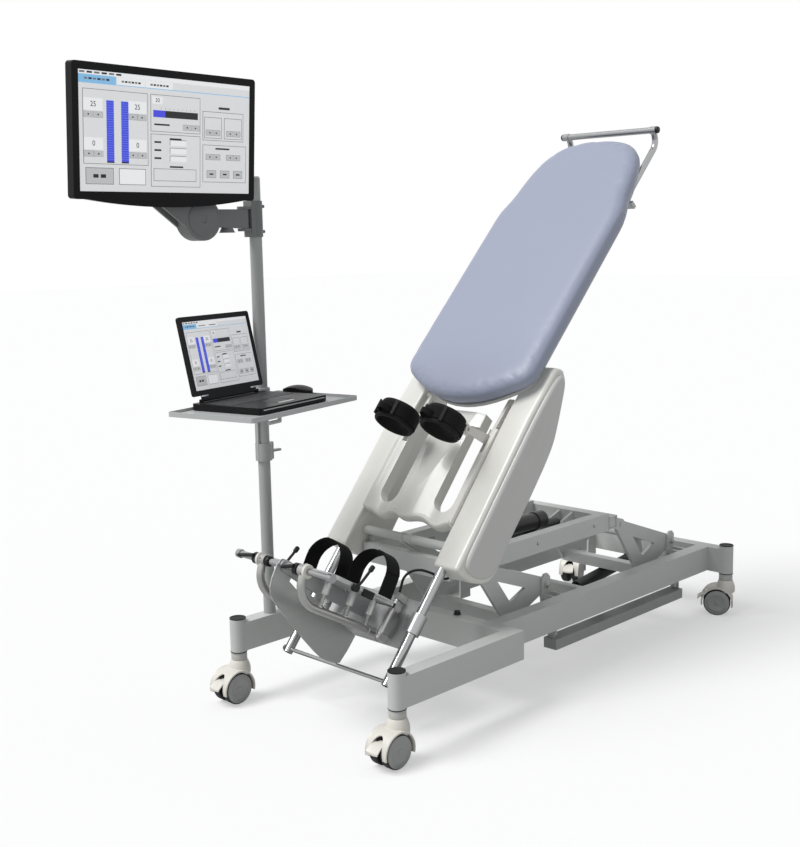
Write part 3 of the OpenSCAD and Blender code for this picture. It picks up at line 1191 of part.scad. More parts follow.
// Shelf
shelf_at = [-12, 152];
clamp_h = 54;
clamp_ring = 7;
module shelf_place() translate([shelf_at.x, shelf_at.y, shelf_z]) rotate([0, 0, shelf_turn]) children();
module shelf_clamp() color([0.12, 0.12, 0.13]) place() translate([pole_x, column_half, 0]) difference() {
    union() {
        translate([0, 0, shelf_z - shelf_t - gap - clamp_h]) cylinder(r=pole_r + clamp_ring, h=clamp_h);
        translate([0, 0, shelf_z - strap_drop]) cylinder(r=pole_r + clamp_ring, h=clamp_h);
        // Clamping lever of the lower band
        box_at([pole_r, -clamp_ring, shelf_z - strap_drop + clamp_h * 0.4],
            [pole_r * 3.4, clamp_ring, shelf_z - strap_drop + clamp_h * 0.4 + clamp_ring]);
        box_at([pole_r, -clamp_ring, shelf_z - strap_drop],
            [pole_r * 1.8, clamp_ring, shelf_z - strap_drop + clamp_h]);
        box_at([-pole_r - clamp_ring, -clamp_ring, shelf_z - strap_drop],
            [-pole_r - over, clamp_ring, shelf_z - shelf_t - gap - clamp_h / 2]);
    }
    translate([0, 0, shelf_z - strap_drop - over]) cylinder(r=pole_r + fit, h=strap_drop + clamp_h);
}
strap_drop = 202;
ring_h = 30;
module shelf_tray() color([0.62, 0.64, 0.64]) place() {
    difference() {
        union() {
            shelf_place() translate([0, 0, -shelf_t]) {
                linear_extrude(shelf_t) rounded(shelf_w, shelf_d, rim_h);
                difference() {
                    linear_extrude(shelf_t + rim_h) rounded(shelf_w, shelf_d, rim_h);
                    translate([0, 0, shelf_t]) linear_extrude(rim_h + over)
                        rounded(shelf_w - shelf_t, shelf_d - shelf_t, rim_h - shelf_t / 2);
                }
            }
            // Eye that turns on the pole, over the clamp band
            translate([pole_x, column_half, shelf_z - shelf_t]) cylinder(r=pole_r + clamp_ring, h=ring_h);
            shelf_place() box_at([shelf_w * 0.2, shelf_d * 0.4, -shelf_t], [shelf_w * 0.36, shelf_d * 0.62, 0]);
        }
        translate([pole_x, column_half, shelf_z - shelf_t - over]) cylinder(r=pole_r + fit, h=ring_h + 2 * over);
    }
    // Bent rod handle under the near side
    shelf_place() {
        strut([shelf_w * 0.12, 0, -shelf_t + over], [shelf_w * 0.12, 0, -shelf_t - hook_h], hook_r);
        translate([shelf_w * 0.12, 0, -shelf_t - hook_h]) sphere(r=hook_r);
        strut([shelf_w * 0.12, 0, -shelf_t - hook_h], [shelf_w * 0.02, 0, -shelf_t - hook_h], hook_r);
    }
}
hook_h = 46;
hook_r = 6;
laptop_at = [-5, 16];
laptop_round = 8;
foot_h = 2;
module laptop_place() shelf_place() translate([laptop_at.x, laptop_at.y, 0]) children();
module laptop_base() color([0.06, 0.06, 0.07]) place() laptop_place() {
    difference() {
        translate([0, 0, foot_h]) linear_extrude(laptop_t - foot_h) rounded(laptop_w, laptop_d, laptop_round);
        // Key field and touch pad
        box_at([-laptop_w * 0.45, -laptop_d * 0.06, laptop_t - foot_h / 2],
            [laptop_w * 0.45, laptop_d * 0.36, laptop_t + over]);
        box_at([-laptop_w * 0.14, -laptop_d * 0.4, laptop_t - foot_h / 4],
            [laptop_w * 0.14, -laptop_d * 0.13, laptop_t + over]);
    }
    for (x = [-0.4, 0.4]) for (y = [-0.4, 0.4]) translate([x * laptop_w, y * laptop_d, skin])
        cylinder(r=laptop_round * 0.7, h=foot_h);
    // Hinge lugs and pin at the back edge
    translate([0, lid_hinge.x, lid_hinge.y]) rotate([0, 90, 0]) {
        cylinder(r=lid_t / 6, h=laptop_w * 0.8, center=true);
        for (s = [-1, 1]) translate([0, 0, s * laptop_w * 0.4]) cylinder(r=lid_t / 2, h=lid_t, center=true);
    }
    for (s = [-1, 1]) translate([s * laptop_w * 0.4 - lid_t / 2, lid_hinge.x - lid_t / 2, laptop_t - foot_h])
        cube([lid_t, lid_t, lid_hinge.y - laptop_t + foot_h]);
}
lid_hinge = [laptop_d / 2 - lid_t, laptop_t + lid_t / 2 + gap];
lid_h = 238;
lid_bezel = 15;
module laptop_lid() color([0.06, 0.06, 0.07]) place() laptop_place()
    translate([0, lid_hinge.x, lid_hinge.y]) rotate([-lid_lean, 0, 0]) difference() {
        union() {
            rotate([0, 90, 0]) cylinder(r=lid_t / 2, h=laptop_w * 0.76, center=true);
            translate([0, lid_t / 2, 0]) rotate([90, 0, 0]) linear_extrude(lid_t) {
                translate([0, lid_h / 2 + lid_t]) rounded(laptop_w, lid_h - lid_t, laptop_round);
                translate([-laptop_w * 0.38, 0]) square([laptop_w * 0.76, lid_h / 2]);
            }
        }
        translate([0, -lid_t / 2 + foot_h / 2, lid_h / 2 + lid_t]) rotate([90, 0, 0]) linear_extrude(over)
            rounded(laptop_w - 2 * lid_bezel, lid_h - lid_t - 2 * lid_bezel, over);
        rotate([0, 90, 0]) cylinder(r=lid_t / 6 + fit, h=laptop_w, center=true);
    }
mouse_at = [214, 44];
mouse_l = 100;
mouse_w = 60;
mouse_h = 34;
module mouse() color([0.04, 0.04, 0.05]) place() shelf_place() translate([mouse_at.x, mouse_at.y, skin])
    intersection() {
        translate([0, 0, -mouse_l * 0.62]) sphere(r=mouse_l * 0.62 + mouse_h);
        linear_extrude(mouse_h) hull() {
            translate([0, mouse_l / 2 - mouse_w / 2]) circle(r=mouse_w / 2);
            translate([0, -mouse_l / 2 + mouse_w / 2]) circle(r=mouse_w / 2);
        }
    }

base_frame();
column_caps();
pole();
lift_brackets();
caster_hood(0);  // caster_hood_fr
caster_hood(1);  // caster_hood_fl
caster_hood(2);  // caster_hood_rr
caster_hood(3);  // caster_hood_rl
caster_wheels(0);  // caster_wheels_fr
caster_wheels(1);  // caster_wheels_fl
caster_wheels(2);  // caster_wheels_rr
caster_wheels(3);  // caster_wheels_rl
caster_pedal(0);  // caster_pedal_fr
caster_pedal(1);  // caster_pedal_fl
caster_pedal(2);  // caster_pedal_rr
caster_pedal(3);  // caster_pedal_rl
lift_arm_front();
lift_arm_rear();
lift_frame();
height_rod();
height_tube();
tilt_motor();
tilt_rod();
foot_bar();
casing_right();
casing_left();
leg_cover();
tilt_crossmember();
back_board();
cushion();
push_handle();
drive_arm_right();
drive_arm_left();
cuff_right();
cuff_left();
leg_tubes();
foot_carriage();
foot_guard();
foot_shaft();
foot_link_right();
foot_link_left();
foot_plate_right();
foot_plate_left();
foot_strap_right();
foot_strap_left();
clamp_lever_right();
clamp_lever_left();
guide_dampers();
drive_cable();
arm_bracket();
arm_link();
arm_head();
screen_housing();
screen_panel();
shelf_clamp();
shelf_tray();
laptop_base();
laptop_lid();
mouse();
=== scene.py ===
import bpy
import numpy as np
from mathutils import Matrix, Vector


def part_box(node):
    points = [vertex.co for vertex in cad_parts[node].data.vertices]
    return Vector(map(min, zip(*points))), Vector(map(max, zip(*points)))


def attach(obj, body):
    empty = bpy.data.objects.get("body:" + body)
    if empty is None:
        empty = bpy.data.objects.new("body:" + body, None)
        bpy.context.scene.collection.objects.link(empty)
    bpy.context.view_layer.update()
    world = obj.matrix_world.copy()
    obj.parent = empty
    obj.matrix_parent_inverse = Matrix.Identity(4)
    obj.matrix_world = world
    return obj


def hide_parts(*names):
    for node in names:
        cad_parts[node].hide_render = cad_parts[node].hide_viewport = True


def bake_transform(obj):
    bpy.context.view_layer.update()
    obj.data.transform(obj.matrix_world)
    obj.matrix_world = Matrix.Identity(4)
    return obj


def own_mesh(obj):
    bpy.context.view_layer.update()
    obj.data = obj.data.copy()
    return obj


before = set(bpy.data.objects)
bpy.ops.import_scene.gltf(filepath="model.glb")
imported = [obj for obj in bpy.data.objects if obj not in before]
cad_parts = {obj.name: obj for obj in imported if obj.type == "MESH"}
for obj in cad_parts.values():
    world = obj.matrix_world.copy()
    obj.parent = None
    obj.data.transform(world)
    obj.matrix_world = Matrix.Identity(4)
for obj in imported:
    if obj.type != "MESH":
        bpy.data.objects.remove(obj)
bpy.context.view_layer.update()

# Short helpers for new objects and shader nodes, used by the studio and by everything below.
MM = 0.001


def added(name, data):
    """A new object in the scene."""
    made = bpy.data.objects.new(name, data)
    bpy.context.scene.collection.objects.link(made)
    return made


def feed(tree, made, links):
    """Joins each named or numbered input of a node to an output, or gives it a plain value."""
    for key, value in links.items():
        if isinstance(value, bpy.types.NodeSocket):
            tree.links.new(value, made.inputs[key])
        else:
            made.inputs[key].default_value = value
    return made


def node(tree, kind, links=(), **settings):
    """A new node with its settings and inputs."""
    made = tree.nodes.new(kind)
    for key, value in settings.items():
        setattr(made, key, value)
    return feed(tree, made, dict(links))


def sums(tree, operation, a, b):
    """The value of one arithmetic step on two values."""
    return node(tree, "ShaderNodeMath", {0: a, 1: b}, operation=operation).outputs[0]


def mixed(tree, share, a, b):
    """Two shaders mixed: share 0 gives a, share 1 gives b."""
    return node(tree, "ShaderNodeMixShader", {0: share, 1: a.outputs[0], 2: b.outputs[0]})


# Studio: a plain pale floor, one broad soft light from above the foot end, an even pale surround and the
# camera where the photograph was taken from. Measures are millimetres from the middle of the front columns,
# and SHIFT is where the frame's own zero lies.
POLE_X, COLUMN_Y, WHEELBASE = 128.0, 346.0, 1740
EYE = np.array([-2202.0, -2557.0, 1425.0])
HEADING, TILT, ROLL = np.radians([-45.3, 8.9, -1.15])
LENS, SENSOR = 51.4, 36
LIGHT_DIRECTION, LIGHT_STRENGTH, LIGHT_SPREAD = (0.5, -0.25, -0.8), 2.5, 0.5
SKY_COLOUR, SKY_STRENGTH = (0.97, 0.98, 1.0, 1), 0.38
FLOOR_REACH, FLOOR_BOUNCE, FLOOR_PALE, FLOOR_GLOW = 30, (0.6, 0.6, 0.6, 1), (0.95, 0.95, 0.95, 1), 0.45

pole_low, pole_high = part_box("pole")
pole_middle = np.array([pole_low.x + pole_high.x, pole_low.y + pole_high.y, 0]) * 0.5 / MM
SHIFT = np.array([POLE_X, COLUMN_Y, 0]) - pole_middle


def camera_axes(heading, tilt, roll):
    """Right, up and backward unit vectors of a camera turned, dipped and rolled by these angles."""
    back = np.array([np.sin(heading) * np.cos(tilt), -np.cos(heading) * np.cos(tilt), np.sin(tilt)])
    right = np.array([np.cos(heading), np.sin(heading), 0.0])
    up = np.cross(back, right)
    return np.cos(roll) * right + np.sin(roll) * up, np.cos(roll) * up - np.sin(roll) * right, back


camera = added("camera", bpy.data.cameras.new("camera"))
axes = np.eye(4)
axes[:3, 0], axes[:3, 1], axes[:3, 2] = camera_axes(HEADING, TILT, ROLL)
axes[:3, 3] = (EYE - SHIFT) * MM
camera.matrix_world = Matrix(axes)
camera.data.lens = LENS
camera.data.sensor_width = SENSOR
bpy.context.scene.camera = camera
bpy.context.scene.view_settings.view_transform = "Standard"

light = added("key_light", bpy.data.lights.new("key_light", "SUN"))
light.rotation_euler = Vector(LIGHT_DIRECTION).to_track_quat("-Z", "Y").to_euler()
light.data.energy = LIGHT_STRENGTH
light.data.angle = LIGHT_SPREAD

world = bpy.data.worlds.new("surround")
bpy.context.scene.world = world
world.use_nodes = True
sky = world.node_tree
sky.nodes.clear()
sky_glow = node(sky, "ShaderNodeBackground", {"Color": SKY_COLOUR, "Strength": SKY_STRENGTH})
sky_seen = node(sky, "ShaderNodeBackground", {"Color": (1, 1, 1, 1), "Strength": 1.0})
sky_ray = node(sky, "ShaderNodeLightPath").outputs
seen_or_mirrored = sums(sky, "MAXIMUM", sky_ray["Is Camera Ray"], sky_ray["Is Glossy Ray"])
seen_at_all = sums(sky, "MAXIMUM", seen_or_mirrored, sky_ray["Is Transmission Ray"])
sky_both = mixed(sky, seen_at_all, sky_glow, sky_seen)
node(sky, "ShaderNodeOutputWorld", {"Surface": sky_both.outputs[0]})

floor_mesh = bpy.data.meshes.new("floor")
floor_corners = [(x * FLOOR_REACH, y * FLOOR_REACH, 0) for x, y in ((-1, -1), (1, -1), (1, 1), (-1, 1))]
floor_mesh.from_pydata(floor_corners, [], [(0, 1, 2, 3)])
floor = added("floor", floor_mesh)
floor_paint = bpy.data.materials.new("floor_paint")
floor_paint.use_nodes = True
ground = floor_paint.node_tree
ground.nodes.clear()
ground_bounce = node(ground, "ShaderNodeBsdfDiffuse", {"Color": FLOOR_BOUNCE})
ground_seen = node(ground, "ShaderNodeBsdfDiffuse", {"Color": FLOOR_PALE})
ground_glow = node(ground, "ShaderNodeEmission", {"Strength": 1.0})
ground_pale = mixed(ground, FLOOR_GLOW, ground_seen, ground_glow)
ground_ray = node(ground, "ShaderNodeLightPath").outputs["Is Camera Ray"]
ground_both = mixed(ground, ground_ray, ground_bounce, ground_pale)
node(ground, "ShaderNodeOutputMaterial", {"Surface": ground_both.outputs[0]})
floor_mesh.materials.append(floor_paint)

# Welded base: two front legs, a step beam, two long rails and a rear beam of square steel tube, sprayed
# in a pale grey satin paint with a faint orange-peel skin.


def build_skin():
    """Uneven finish: a broad cloud and a fine speckle shift the colour and the roughness a little."""
    tree = bpy.data.node_groups.new("uneven_skin", "ShaderNodeTree")
    for label, kind, value in (("Vector", "Vector", (0, 0, 0)), ("Color", "Color", (0.5, 0.5, 0.5, 1)),
                               ("Tint", "Float", 0.06), ("Roughness", "Float", 0.4),
                               ("Spread", "Float", 0.1), ("Scale", "Float", 6.0), ("Grain", "Float", 900.0)):
        socket = tree.interface.new_socket(label, in_out="INPUT", socket_type="NodeSocket" + kind)
        socket.default_value = value
    for label, kind in (("Color", "Color"), ("Roughness", "Float"), ("Height", "Float")):
        tree.interface.new_socket(label, in_out="OUTPUT", socket_type="NodeSocket" + kind)
    given = tree.nodes.new("NodeGroupInput").outputs
    cloud = node(tree, "ShaderNodeTexNoise", {"Vector": given["Vector"], "Scale": given["Scale"],
                                              "Detail": 5.0, "Roughness": 0.55}).outputs["Fac"]
    grain = node(tree, "ShaderNodeTexNoise", {"Vector": given["Vector"], "Scale": given["Grain"],
                                              "Detail": 2.0}).outputs["Fac"]
    swing = sums(tree, "SUBTRACT", sums(tree, "ADD", sums(tree, "MULTIPLY", cloud, 1.5), grain), 1.25)
    gain = sums(tree, "ADD", sums(tree, "MULTIPLY", swing, given["Tint"]), 1.0)
    shade = node(tree, "ShaderNodeVectorMath", {0: given["Color"], "Scale": gain}, operation="SCALE")
    rough = sums(tree, "ADD", given["Roughness"], sums(tree, "MULTIPLY", swing, given["Spread"]))
    node(tree, "NodeGroupOutput", {"Color": shade.outputs[0], "Roughness": rough, "Height": grain})
    return tree


SKIN = build_skin()


def finish(name, colour, rough, metal=0.0, tint=0.06, spread=0.1, scale=6.0, grain=900.0, bump=0.02,
           depth=0.0005, stretch=(1, 1, 1), coat=0.0, glow=0.0, shine=0.5, detail=None):
    """A Principled material on Object coordinates whose colour, roughness and bump come from the uneven skin.
    detail, if given, adds a second height: it takes the tree and the coordinates and returns an output."""
    material = bpy.data.materials.new(name)
    material.use_nodes = True
    tree = material.node_tree
    place = node(tree, "ShaderNodeTexCoord").outputs["Object"]
    if stretch != (1, 1, 1):
        place = node(tree, "ShaderNodeVectorMath", {0: place, 1: stretch}, operation="MULTIPLY").outputs[0]
    skin = node(tree, "ShaderNodeGroup", {
        "Vector": place, "Color": (*colour, 1), "Tint": tint, "Roughness": rough, "Spread": spread,
        "Scale": scale, "Grain": grain}, node_tree=SKIN).outputs
    height = skin["Height"]
    if detail:
        height = sums(tree, "ADD", sums(tree, "MULTIPLY", height, 0.25), detail(tree, place))
    bumps = node(tree, "ShaderNodeBump", {"Height": height, "Strength": bump, "Distance": depth})
    shader = feed(tree, tree.nodes["Principled BSDF"], {
        "Base Color": skin["Color"], "Roughness": skin["Roughness"], "Normal": bumps.outputs[0],
        "Metallic": metal, "Coat Weight": coat, "Coat Roughness": 0.08, "Specular IOR Level": shine})
    if glow:
        feed(tree, shader, {"Emission Strength": glow, "Emission Color": skin["Color"]})
    return material


def dress(material, *names):
    """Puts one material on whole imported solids."""
    for name in names:
        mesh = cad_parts[name].data
        mesh.materials.clear()
        mesh.materials.append(material)


FRAME_PAINT = finish("frame_paint", (0.56, 0.575, 0.56), 0.42, tint=0.05, bump=0.12)
dress(FRAME_PAINT, "base_frame", "back_board", "tilt_crossmember")


def turned(axis, degrees):
    """A turn about one axis as a 4 by 4 array."""
    return np.array(Matrix.Rotation(np.radians(degrees), 4, axis))


def moved(x, y, z):
    """A shift as a 4 by 4 array."""
    shift = np.eye(4)
    shift[:3, 3] = (x, y, z)
    return shift


BASE = moved(*-SHIFT)
HANDS = ((-1, "right"), (1, "left"))


def sided(points, faces):
    """Turns the faces outwards: the sum of the signed volumes under their triangles is made positive."""
    quads = faces[faces[:, 3] >= 0]
    volume = 0.0
    for corners in (faces[:, :3], quads[:, [0, 2, 3]]):
        a, b, c = points[corners[:, 0]], points[corners[:, 1]], points[corners[:, 2]]
        volume += np.einsum("ij,ij->i", a, np.cross(b, c)).sum()
    if volume >= 0:
        return faces
    flipped = faces.copy()
    three = faces[:, 3] < 0
    flipped[three, :3] = faces[three, :3][:, ::-1]
    flipped[~three] = faces[~three][:, ::-1]
    return flipped


def loft(rings, closed=False):
    """Rings of points, an array of rings by points by 3, joined by quads. The first and last are closed by a
    fan to their middle, unless the rings run round to the start."""
    rings = np.asarray(rings, float)
    m, n = rings.shape[:2]
    points = rings.reshape(-1, 3)
    i, j = np.meshgrid(np.arange(m if closed else m - 1), np.arange(n), indexing="ij")
    a, b = i * n + j, i * n + (j + 1) % n
    c, d = (i + 1) % m * n + (j + 1) % n, (i + 1) % m * n + j
    faces = np.stack([a, b, c, d], -1).reshape(-1, 4)
    if not closed:
        low, high = len(points), len(points) + 1
        points = np.vstack([points, rings[0].mean(0), rings[-1].mean(0)])
        k = np.arange(n)
        last = (m - 1) * n
        fan_low = np.stack([(k + 1) % n, k, np.full(n, low), np.full(n, -1)], -1)
        fan_high = np.stack([last + k, last + (k + 1) % n, np.full(n, high), np.full(n, -1)], -1)
        faces = np.vstack([faces, fan_low, fan_high])
    return points, sided(points, faces)


def circle(radius, count):
    """Points of a circle as (sideways, upward) pairs."""
    turn = np.linspace(0, 2 * np.pi, count, endpoint=False)
    return np.stack([radius * np.cos(turn), radius * np.sin(turn)], -1)


def revolve(profile, count=48):
    """A profile of radius and height carried round the Z axis."""
    profile = np.asarray(profile, float)
    turn = np.linspace(0, 2 * np.pi, count, endpoint=False)
    rings = np.stack([profile[:, :1] * np.cos(turn), profile[:, :1] * np.sin(turn),
                      np.repeat(profile[:, 1:], count, 1)], -1)
    return loft(rings)


def placed(shape, matrix):
    """The shape's points moved by a 4 by 4 array, with the faces turned outwards again."""
    points, faces = shape
    points = points @ matrix[:3, :3].T + matrix[:3, 3]
    return points, sided(points, faces)


def put(material, matrix, *shapes):
    """A list of parts for piece(): each shape moved by the matrix, with its material."""
    return [(placed(shape, matrix), material) for shape in shapes]


def piece(name, parts, body, sharp=35.0):
    """One object from a list of parts in millimetres. It rides on the body, unless that is None."""
    materials, points, corners, kinds = [], [], [], []
    offset = 0
    for (shape, faces), material in parts:
        if material not in materials:
            materials.append(material)
        points.append(shape * MM)
        rows = [[v + offset for v in face if v >= 0] for face in faces.tolist()]
        corners += rows
        kinds += [materials.index(material)] * len(rows)
        offset += len(shape)
    mesh = bpy.data.meshes.new(name)
    mesh.from_pydata(np.vstack(points).tolist(), [], corners)
    for material in materials:
        mesh.materials.append(material)
    mesh.polygons.foreach_set("material_index", np.array(kinds, np.int32))
    mesh.polygons.foreach_set("use_smooth", np.ones(len(kinds), bool))
    mesh.set_sharp_from_angle(angle=np.radians(sharp))
    made = added(name, mesh)
    if body:
        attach(made, body)
    return made


# Caster columns: black rubber plugs in the tops of the four upright tubes, and a thin black washer
# under each where the caster's neck turns. A black rubber bumper sits on the step beam.
RUBBER = finish("black_rubber", (0.016, 0.016, 0.017), 0.62, tint=0.3, bump=0.2, shine=0.25)
dress(RUBBER, "column_caps")
COLUMNS = {"fr": (0, -COLUMN_Y), "fl": (0, COLUMN_Y),
           "rr": (WHEELBASE, -COLUMN_Y), "rl": (WHEELBASE, COLUMN_Y)}
COLUMN_END = 154.3
washer = revolve([(24.2, 0), (26.2, 0.4), (26.6, 1.6), (26.2, 2.8), (24.2, 3.2)])
washers = [placed(washer, BASE @ moved(x, y, COLUMN_END)) for x, y in COLUMNS.values()]
piece("column_washers", [(shape, RUBBER) for shape in washers], "base")

# Casters: a cream moulded hood over twin wheels, each a grey disc inside a dark soft tyre, and a scooped
# cream brake pedal. The wheel discs are dished and clipped on from outside.
HOOD_PLASTIC = finish("hood_plastic", (0.72, 0.70, 0.64), 0.38, tint=0.05, bump=0.06)
DISC_PLASTIC = finish("disc_plastic", (0.36, 0.365, 0.36), 0.45, tint=0.06, bump=0.08)
TYRE = finish("tyre_rubber", (0.030, 0.030, 0.031), 0.6, tint=0.25, bump=0.2, shine=0.3)
NECK_PAINT = finish("neck_paint", (0.50, 0.50, 0.48), 0.35)
HEADINGS = {"fr": 180, "fl": 180, "rr": 119.4, "rl": 200}
HOOD_HALF, HOOD_RADIUS = 40.5, 58.2


def shell(outer, inner):
    """Two grids of points, each rows by columns by 3, as the two faces of one plate joined round its rim."""
    m, n = outer.shape[:2]
    points = np.vstack([outer.reshape(-1, 3), inner.reshape(-1, 3)])
    i, j = np.meshgrid(np.arange(m - 1), np.arange(n - 1), indexing="ij")
    a = (i * n + j).ravel()
    front = np.stack([a, a + 1, a + n + 1, a + n], -1)
    back = np.stack([a, a + n, a + n + 1, a + 1], -1) + m * n
    edge = np.concatenate([np.arange(n - 1), np.arange(m - 1) * n + n - 1,
                           m * n - 1 - np.arange(n - 1), np.arange(m - 1, 0, -1) * n])
    ahead = np.roll(edge, -1)
    rim = np.stack([ahead, edge, edge + m * n, ahead + m * n], -1)
    return points, sided(points, np.vstack([front, back, rim]))


def caster_hood():
    """A barrel shell about the axle, u along it, with a raised rim at each end. Its front edge rises over the
    pedal as an arch 25 mm to each side."""
    u = np.linspace(-HOOD_HALF, HOOD_HALF, 41)[:, None]
    start = np.radians(-10 + 66 * np.sqrt(np.maximum(0, 1 - (u / 25) ** 2)))
    turn = start + (np.radians(196) - start) * np.linspace(0, 1, 49)[None, :]
    radius = HOOD_RADIUS - 1.6 * (u / HOOD_HALF) ** 2 + 1.5 * np.exp(-((np.abs(u) - 38.5) / 2.2) ** 2)
    grids = [np.stack([r * np.cos(turn), u + 0 * turn, r * np.sin(turn)], -1) for r in (radius, radius - 4.2)]
    return shell(*grids)


def caster_pedal():
    """A scooped pedal: a plate that leaves its pin level, turns down and ends in a thickened lip."""
    t = np.linspace(0, 1, 17)[None, :]
    u = np.linspace(-1, 1, 15)[:, None]
    reach, drop = 27 + 44 * t, 31 - 4 * t - 17 * t ** 2 + 2.5 * u ** 2
    wide = 17 + 5 * t
    thick = 4 + 2 * t ** 4
    return shell(*(np.stack([reach + 0 * u, wide * u, drop - s * thick], -1) for s in (0, 1)))


AXLE_BACK, AXLE_HEIGHT, DISC_SEAT, NECK_START = 30, 49, 34.6, 130.8
disc = revolve([(0.5, 1.6), (9.0, 1.8), (29.0, 2.6), (30.6, 3.6), (33.0, 3.6), (34.4, 2.8), (42.6, 3.2),
                (44.8, 2.6), (45.4, 1.4), (45.2, 0.4), (30.0, 0.2), (0.5, 0.0)])
hub_cap = revolve([(0.4, 4.4), (6.0, 4.1), (8.2, 3.2), (9.0, 1.4), (0.4, 1.2)], 32)
boss = revolve([(33.5, 86), (34.5, 98), (33.0, 110), (29.4, 121), (26.4, 128), (24.6, 130.6),
                (10, NECK_START)])
collar = revolve([(22.8, NECK_START), (24.3, 131.6), (24.7, 134), (24.7, 150), (23.6, 152.8), (22.2, 153.2)])
for corner, (x, y) in COLUMNS.items():
    column = BASE @ moved(x, y, 0)
    caster = column @ turned("Z", HEADINGS[corner]) @ moved(AXLE_BACK, 0, AXLE_HEIGHT)
    discs = []
    for side in (-1, 1):
        outward = caster @ moved(0, side * DISC_SEAT, 0) @ turned("X", -90 * side)
        discs += put(DISC_PLASTIC, outward, disc, hub_cap)
    piece(f"caster_discs_{corner}", discs, f"wheels_{corner}")
    dress(TYRE, f"caster_wheels_{corner}")
    hood_parts = put(HOOD_PLASTIC, caster, caster_hood()) + put(HOOD_PLASTIC, column, boss)
    hood = piece(f"caster_shell_{corner}", hood_parts, f"caster_{corner}")
    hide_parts(f"caster_hood_{corner}")
    pedal = piece(f"caster_scoop_{corner}", put(HOOD_PLASTIC, caster, caster_pedal()), f"pedal_{corner}")
    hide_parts(f"caster_pedal_{corner}")
    piece(f"caster_collar_{corner}", put(NECK_PAINT, column, collar), f"caster_{corner}")

# Screen pole: a round steel tube in a darker grey satin paint.
POLE_PAINT = finish("pole_paint", (0.40, 0.41, 0.405), 0.38, tint=0.05, bump=0.08)
dress(POLE_PAINT, "pole")

# Lift: two pairs of triangular arm plates between base brackets and the lift frame, welded from plate
# and square tube, in a slightly lighter grey. Six-sided bolt heads with washers close the pivots.
LIFT_PAINT = finish("lift_paint", (0.60, 0.615, 0.60), 0.40, tint=0.05, bump=0.12)
STEEL = finish("zinc_steel", (0.42, 0.42, 0.41), 0.35, metal=0.9, tint=0.12, grain=400)
dress(LIFT_PAINT, "lift_brackets", "lift_arm_front", "lift_arm_rear", "lift_frame")


def hex_bolt(head=8.0, thick=5.0):
    """A washer and a six-sided head with a bevelled top, standing along Z."""
    plate = revolve([(head * 1.3, 0), (head * 1.3, 1.2), (head * 1.2, 1.5), (0.5, 1.5)], 28)
    ring = np.c_[circle(1, 6), np.zeros(6)]
    heights = [(head, 1.4), (head, thick * 0.8 + 1.4), (head * 0.86, thick + 1.4)]
    return [plate, loft([ring * (r, r, 0) + (0, 0, z) for r, z in heights])]


def bolts(places, size=8.0):
    """Bolts at a list of (x, y, z, side) in base measures, their heads facing side along Y."""
    made = []
    for x, y, z, side in places:
        made += put(STEEL, BASE @ moved(x, y, z) @ turned("X", -90 * side), *hex_bolt(size, size * 0.6))
    return made


BRACKET_PINS, BRACKET_FACE, BRACKET_HEIGHT = (868, 1622), 187, 275
FRAME_SPOTS, FRAME_FACE = ((537.1, 428), (430, 425), (820, 425), (1130, 425)), 184.8
base_spots = [(x, s * BRACKET_FACE, BRACKET_HEIGHT, s) for x in BRACKET_PINS for s in (-1, 1)]
frame_spots = [(x, s * FRAME_FACE, z, s) for s in (-1, 1) for x, z in FRAME_SPOTS]
piece("base_bolts", bolts(base_spots), "base")
piece("lift_frame_bolts", bolts(frame_spots, 6), "lift_frame")

# Drives: black screw drives with a motor, their rods chromed.
DRIVE_BLACK = finish("drive_black", (0.02, 0.02, 0.022), 0.4, tint=0.3, bump=0.15, shine=0.3)
CHROME = finish("chrome", (0.40, 0.405, 0.41), 0.18, metal=1.0, tint=0.05, spread=0.05, bump=0.01)
dress(DRIVE_BLACK, "height_tube", "tilt_motor")
dress(CHROME, "height_rod", "tilt_rod")

# Foot-control bar under the near rail, in a grey paint a shade darker than the base.
BAR_PAINT = finish("bar_paint", (0.36, 0.365, 0.36), 0.4, tint=0.1, bump=0.15, shine=0.35)
dress(BAR_PAINT, "foot_bar")

# Leg section: two cream moulded casings with a grey side panel, its grey mostly painted shade and partly a
# greyer plastic, joined by a white moulded cover with two leg troughs and a wavy lower lip.
CASING = finish("casing_plastic", (0.76, 0.755, 0.71), 0.30, tint=0.03, bump=0.05, coat=0.15)
# The side panel's grey is the casing's cream darkened: mostly painted shade for the outer side away from the
# light, partly a slightly greyer plastic.
PANEL_GREY_AND_SHADE = finish("panel_plastic_painted_shade", (0.60, 0.605, 0.585), 0.34, tint=0.03, bump=0.05, coat=0.1)
COVER = finish("cover_plastic", (0.80, 0.795, 0.75), 0.28, tint=0.03, bump=0.05, coat=0.2)
dress(COVER, "leg_cover")
LEG_PIVOT, LEG_LEAN = (74.757, 0, 175.515), -50
BACK_START, BACK_LEAN = 905, 4
LEG = BASE @ moved(*LEG_PIVOT) @ turned("Y", LEG_LEAN)
BACK = LEG @ moved(BACK_START, 0, 0) @ turned("Y", BACK_LEAN)


def sweep(path, section, across=(0, 1, 0), closed=False):
    """A flat section of (sideways, upward) points carried along a path, sideways kept near the direction
    across."""
    path, section = np.asarray(path, float), np.asarray(section, float)
    if closed:
        along = np.roll(path, -1, 0) - np.roll(path, 1, 0)
    else:
        along = np.gradient(path, axis=0)
    along /= np.linalg.norm(along, axis=1)[:, None]
    side = np.asarray(across, float) - (along @ np.asarray(across, float))[:, None] * along
    side /= np.linalg.norm(side, axis=1)[:, None]
    up = np.cross(side, along)
    rings = (path[:, None] + side[:, None] * section[None, :, :1] + up[:, None] * section[None, :, 1:])
    return loft(rings, closed)


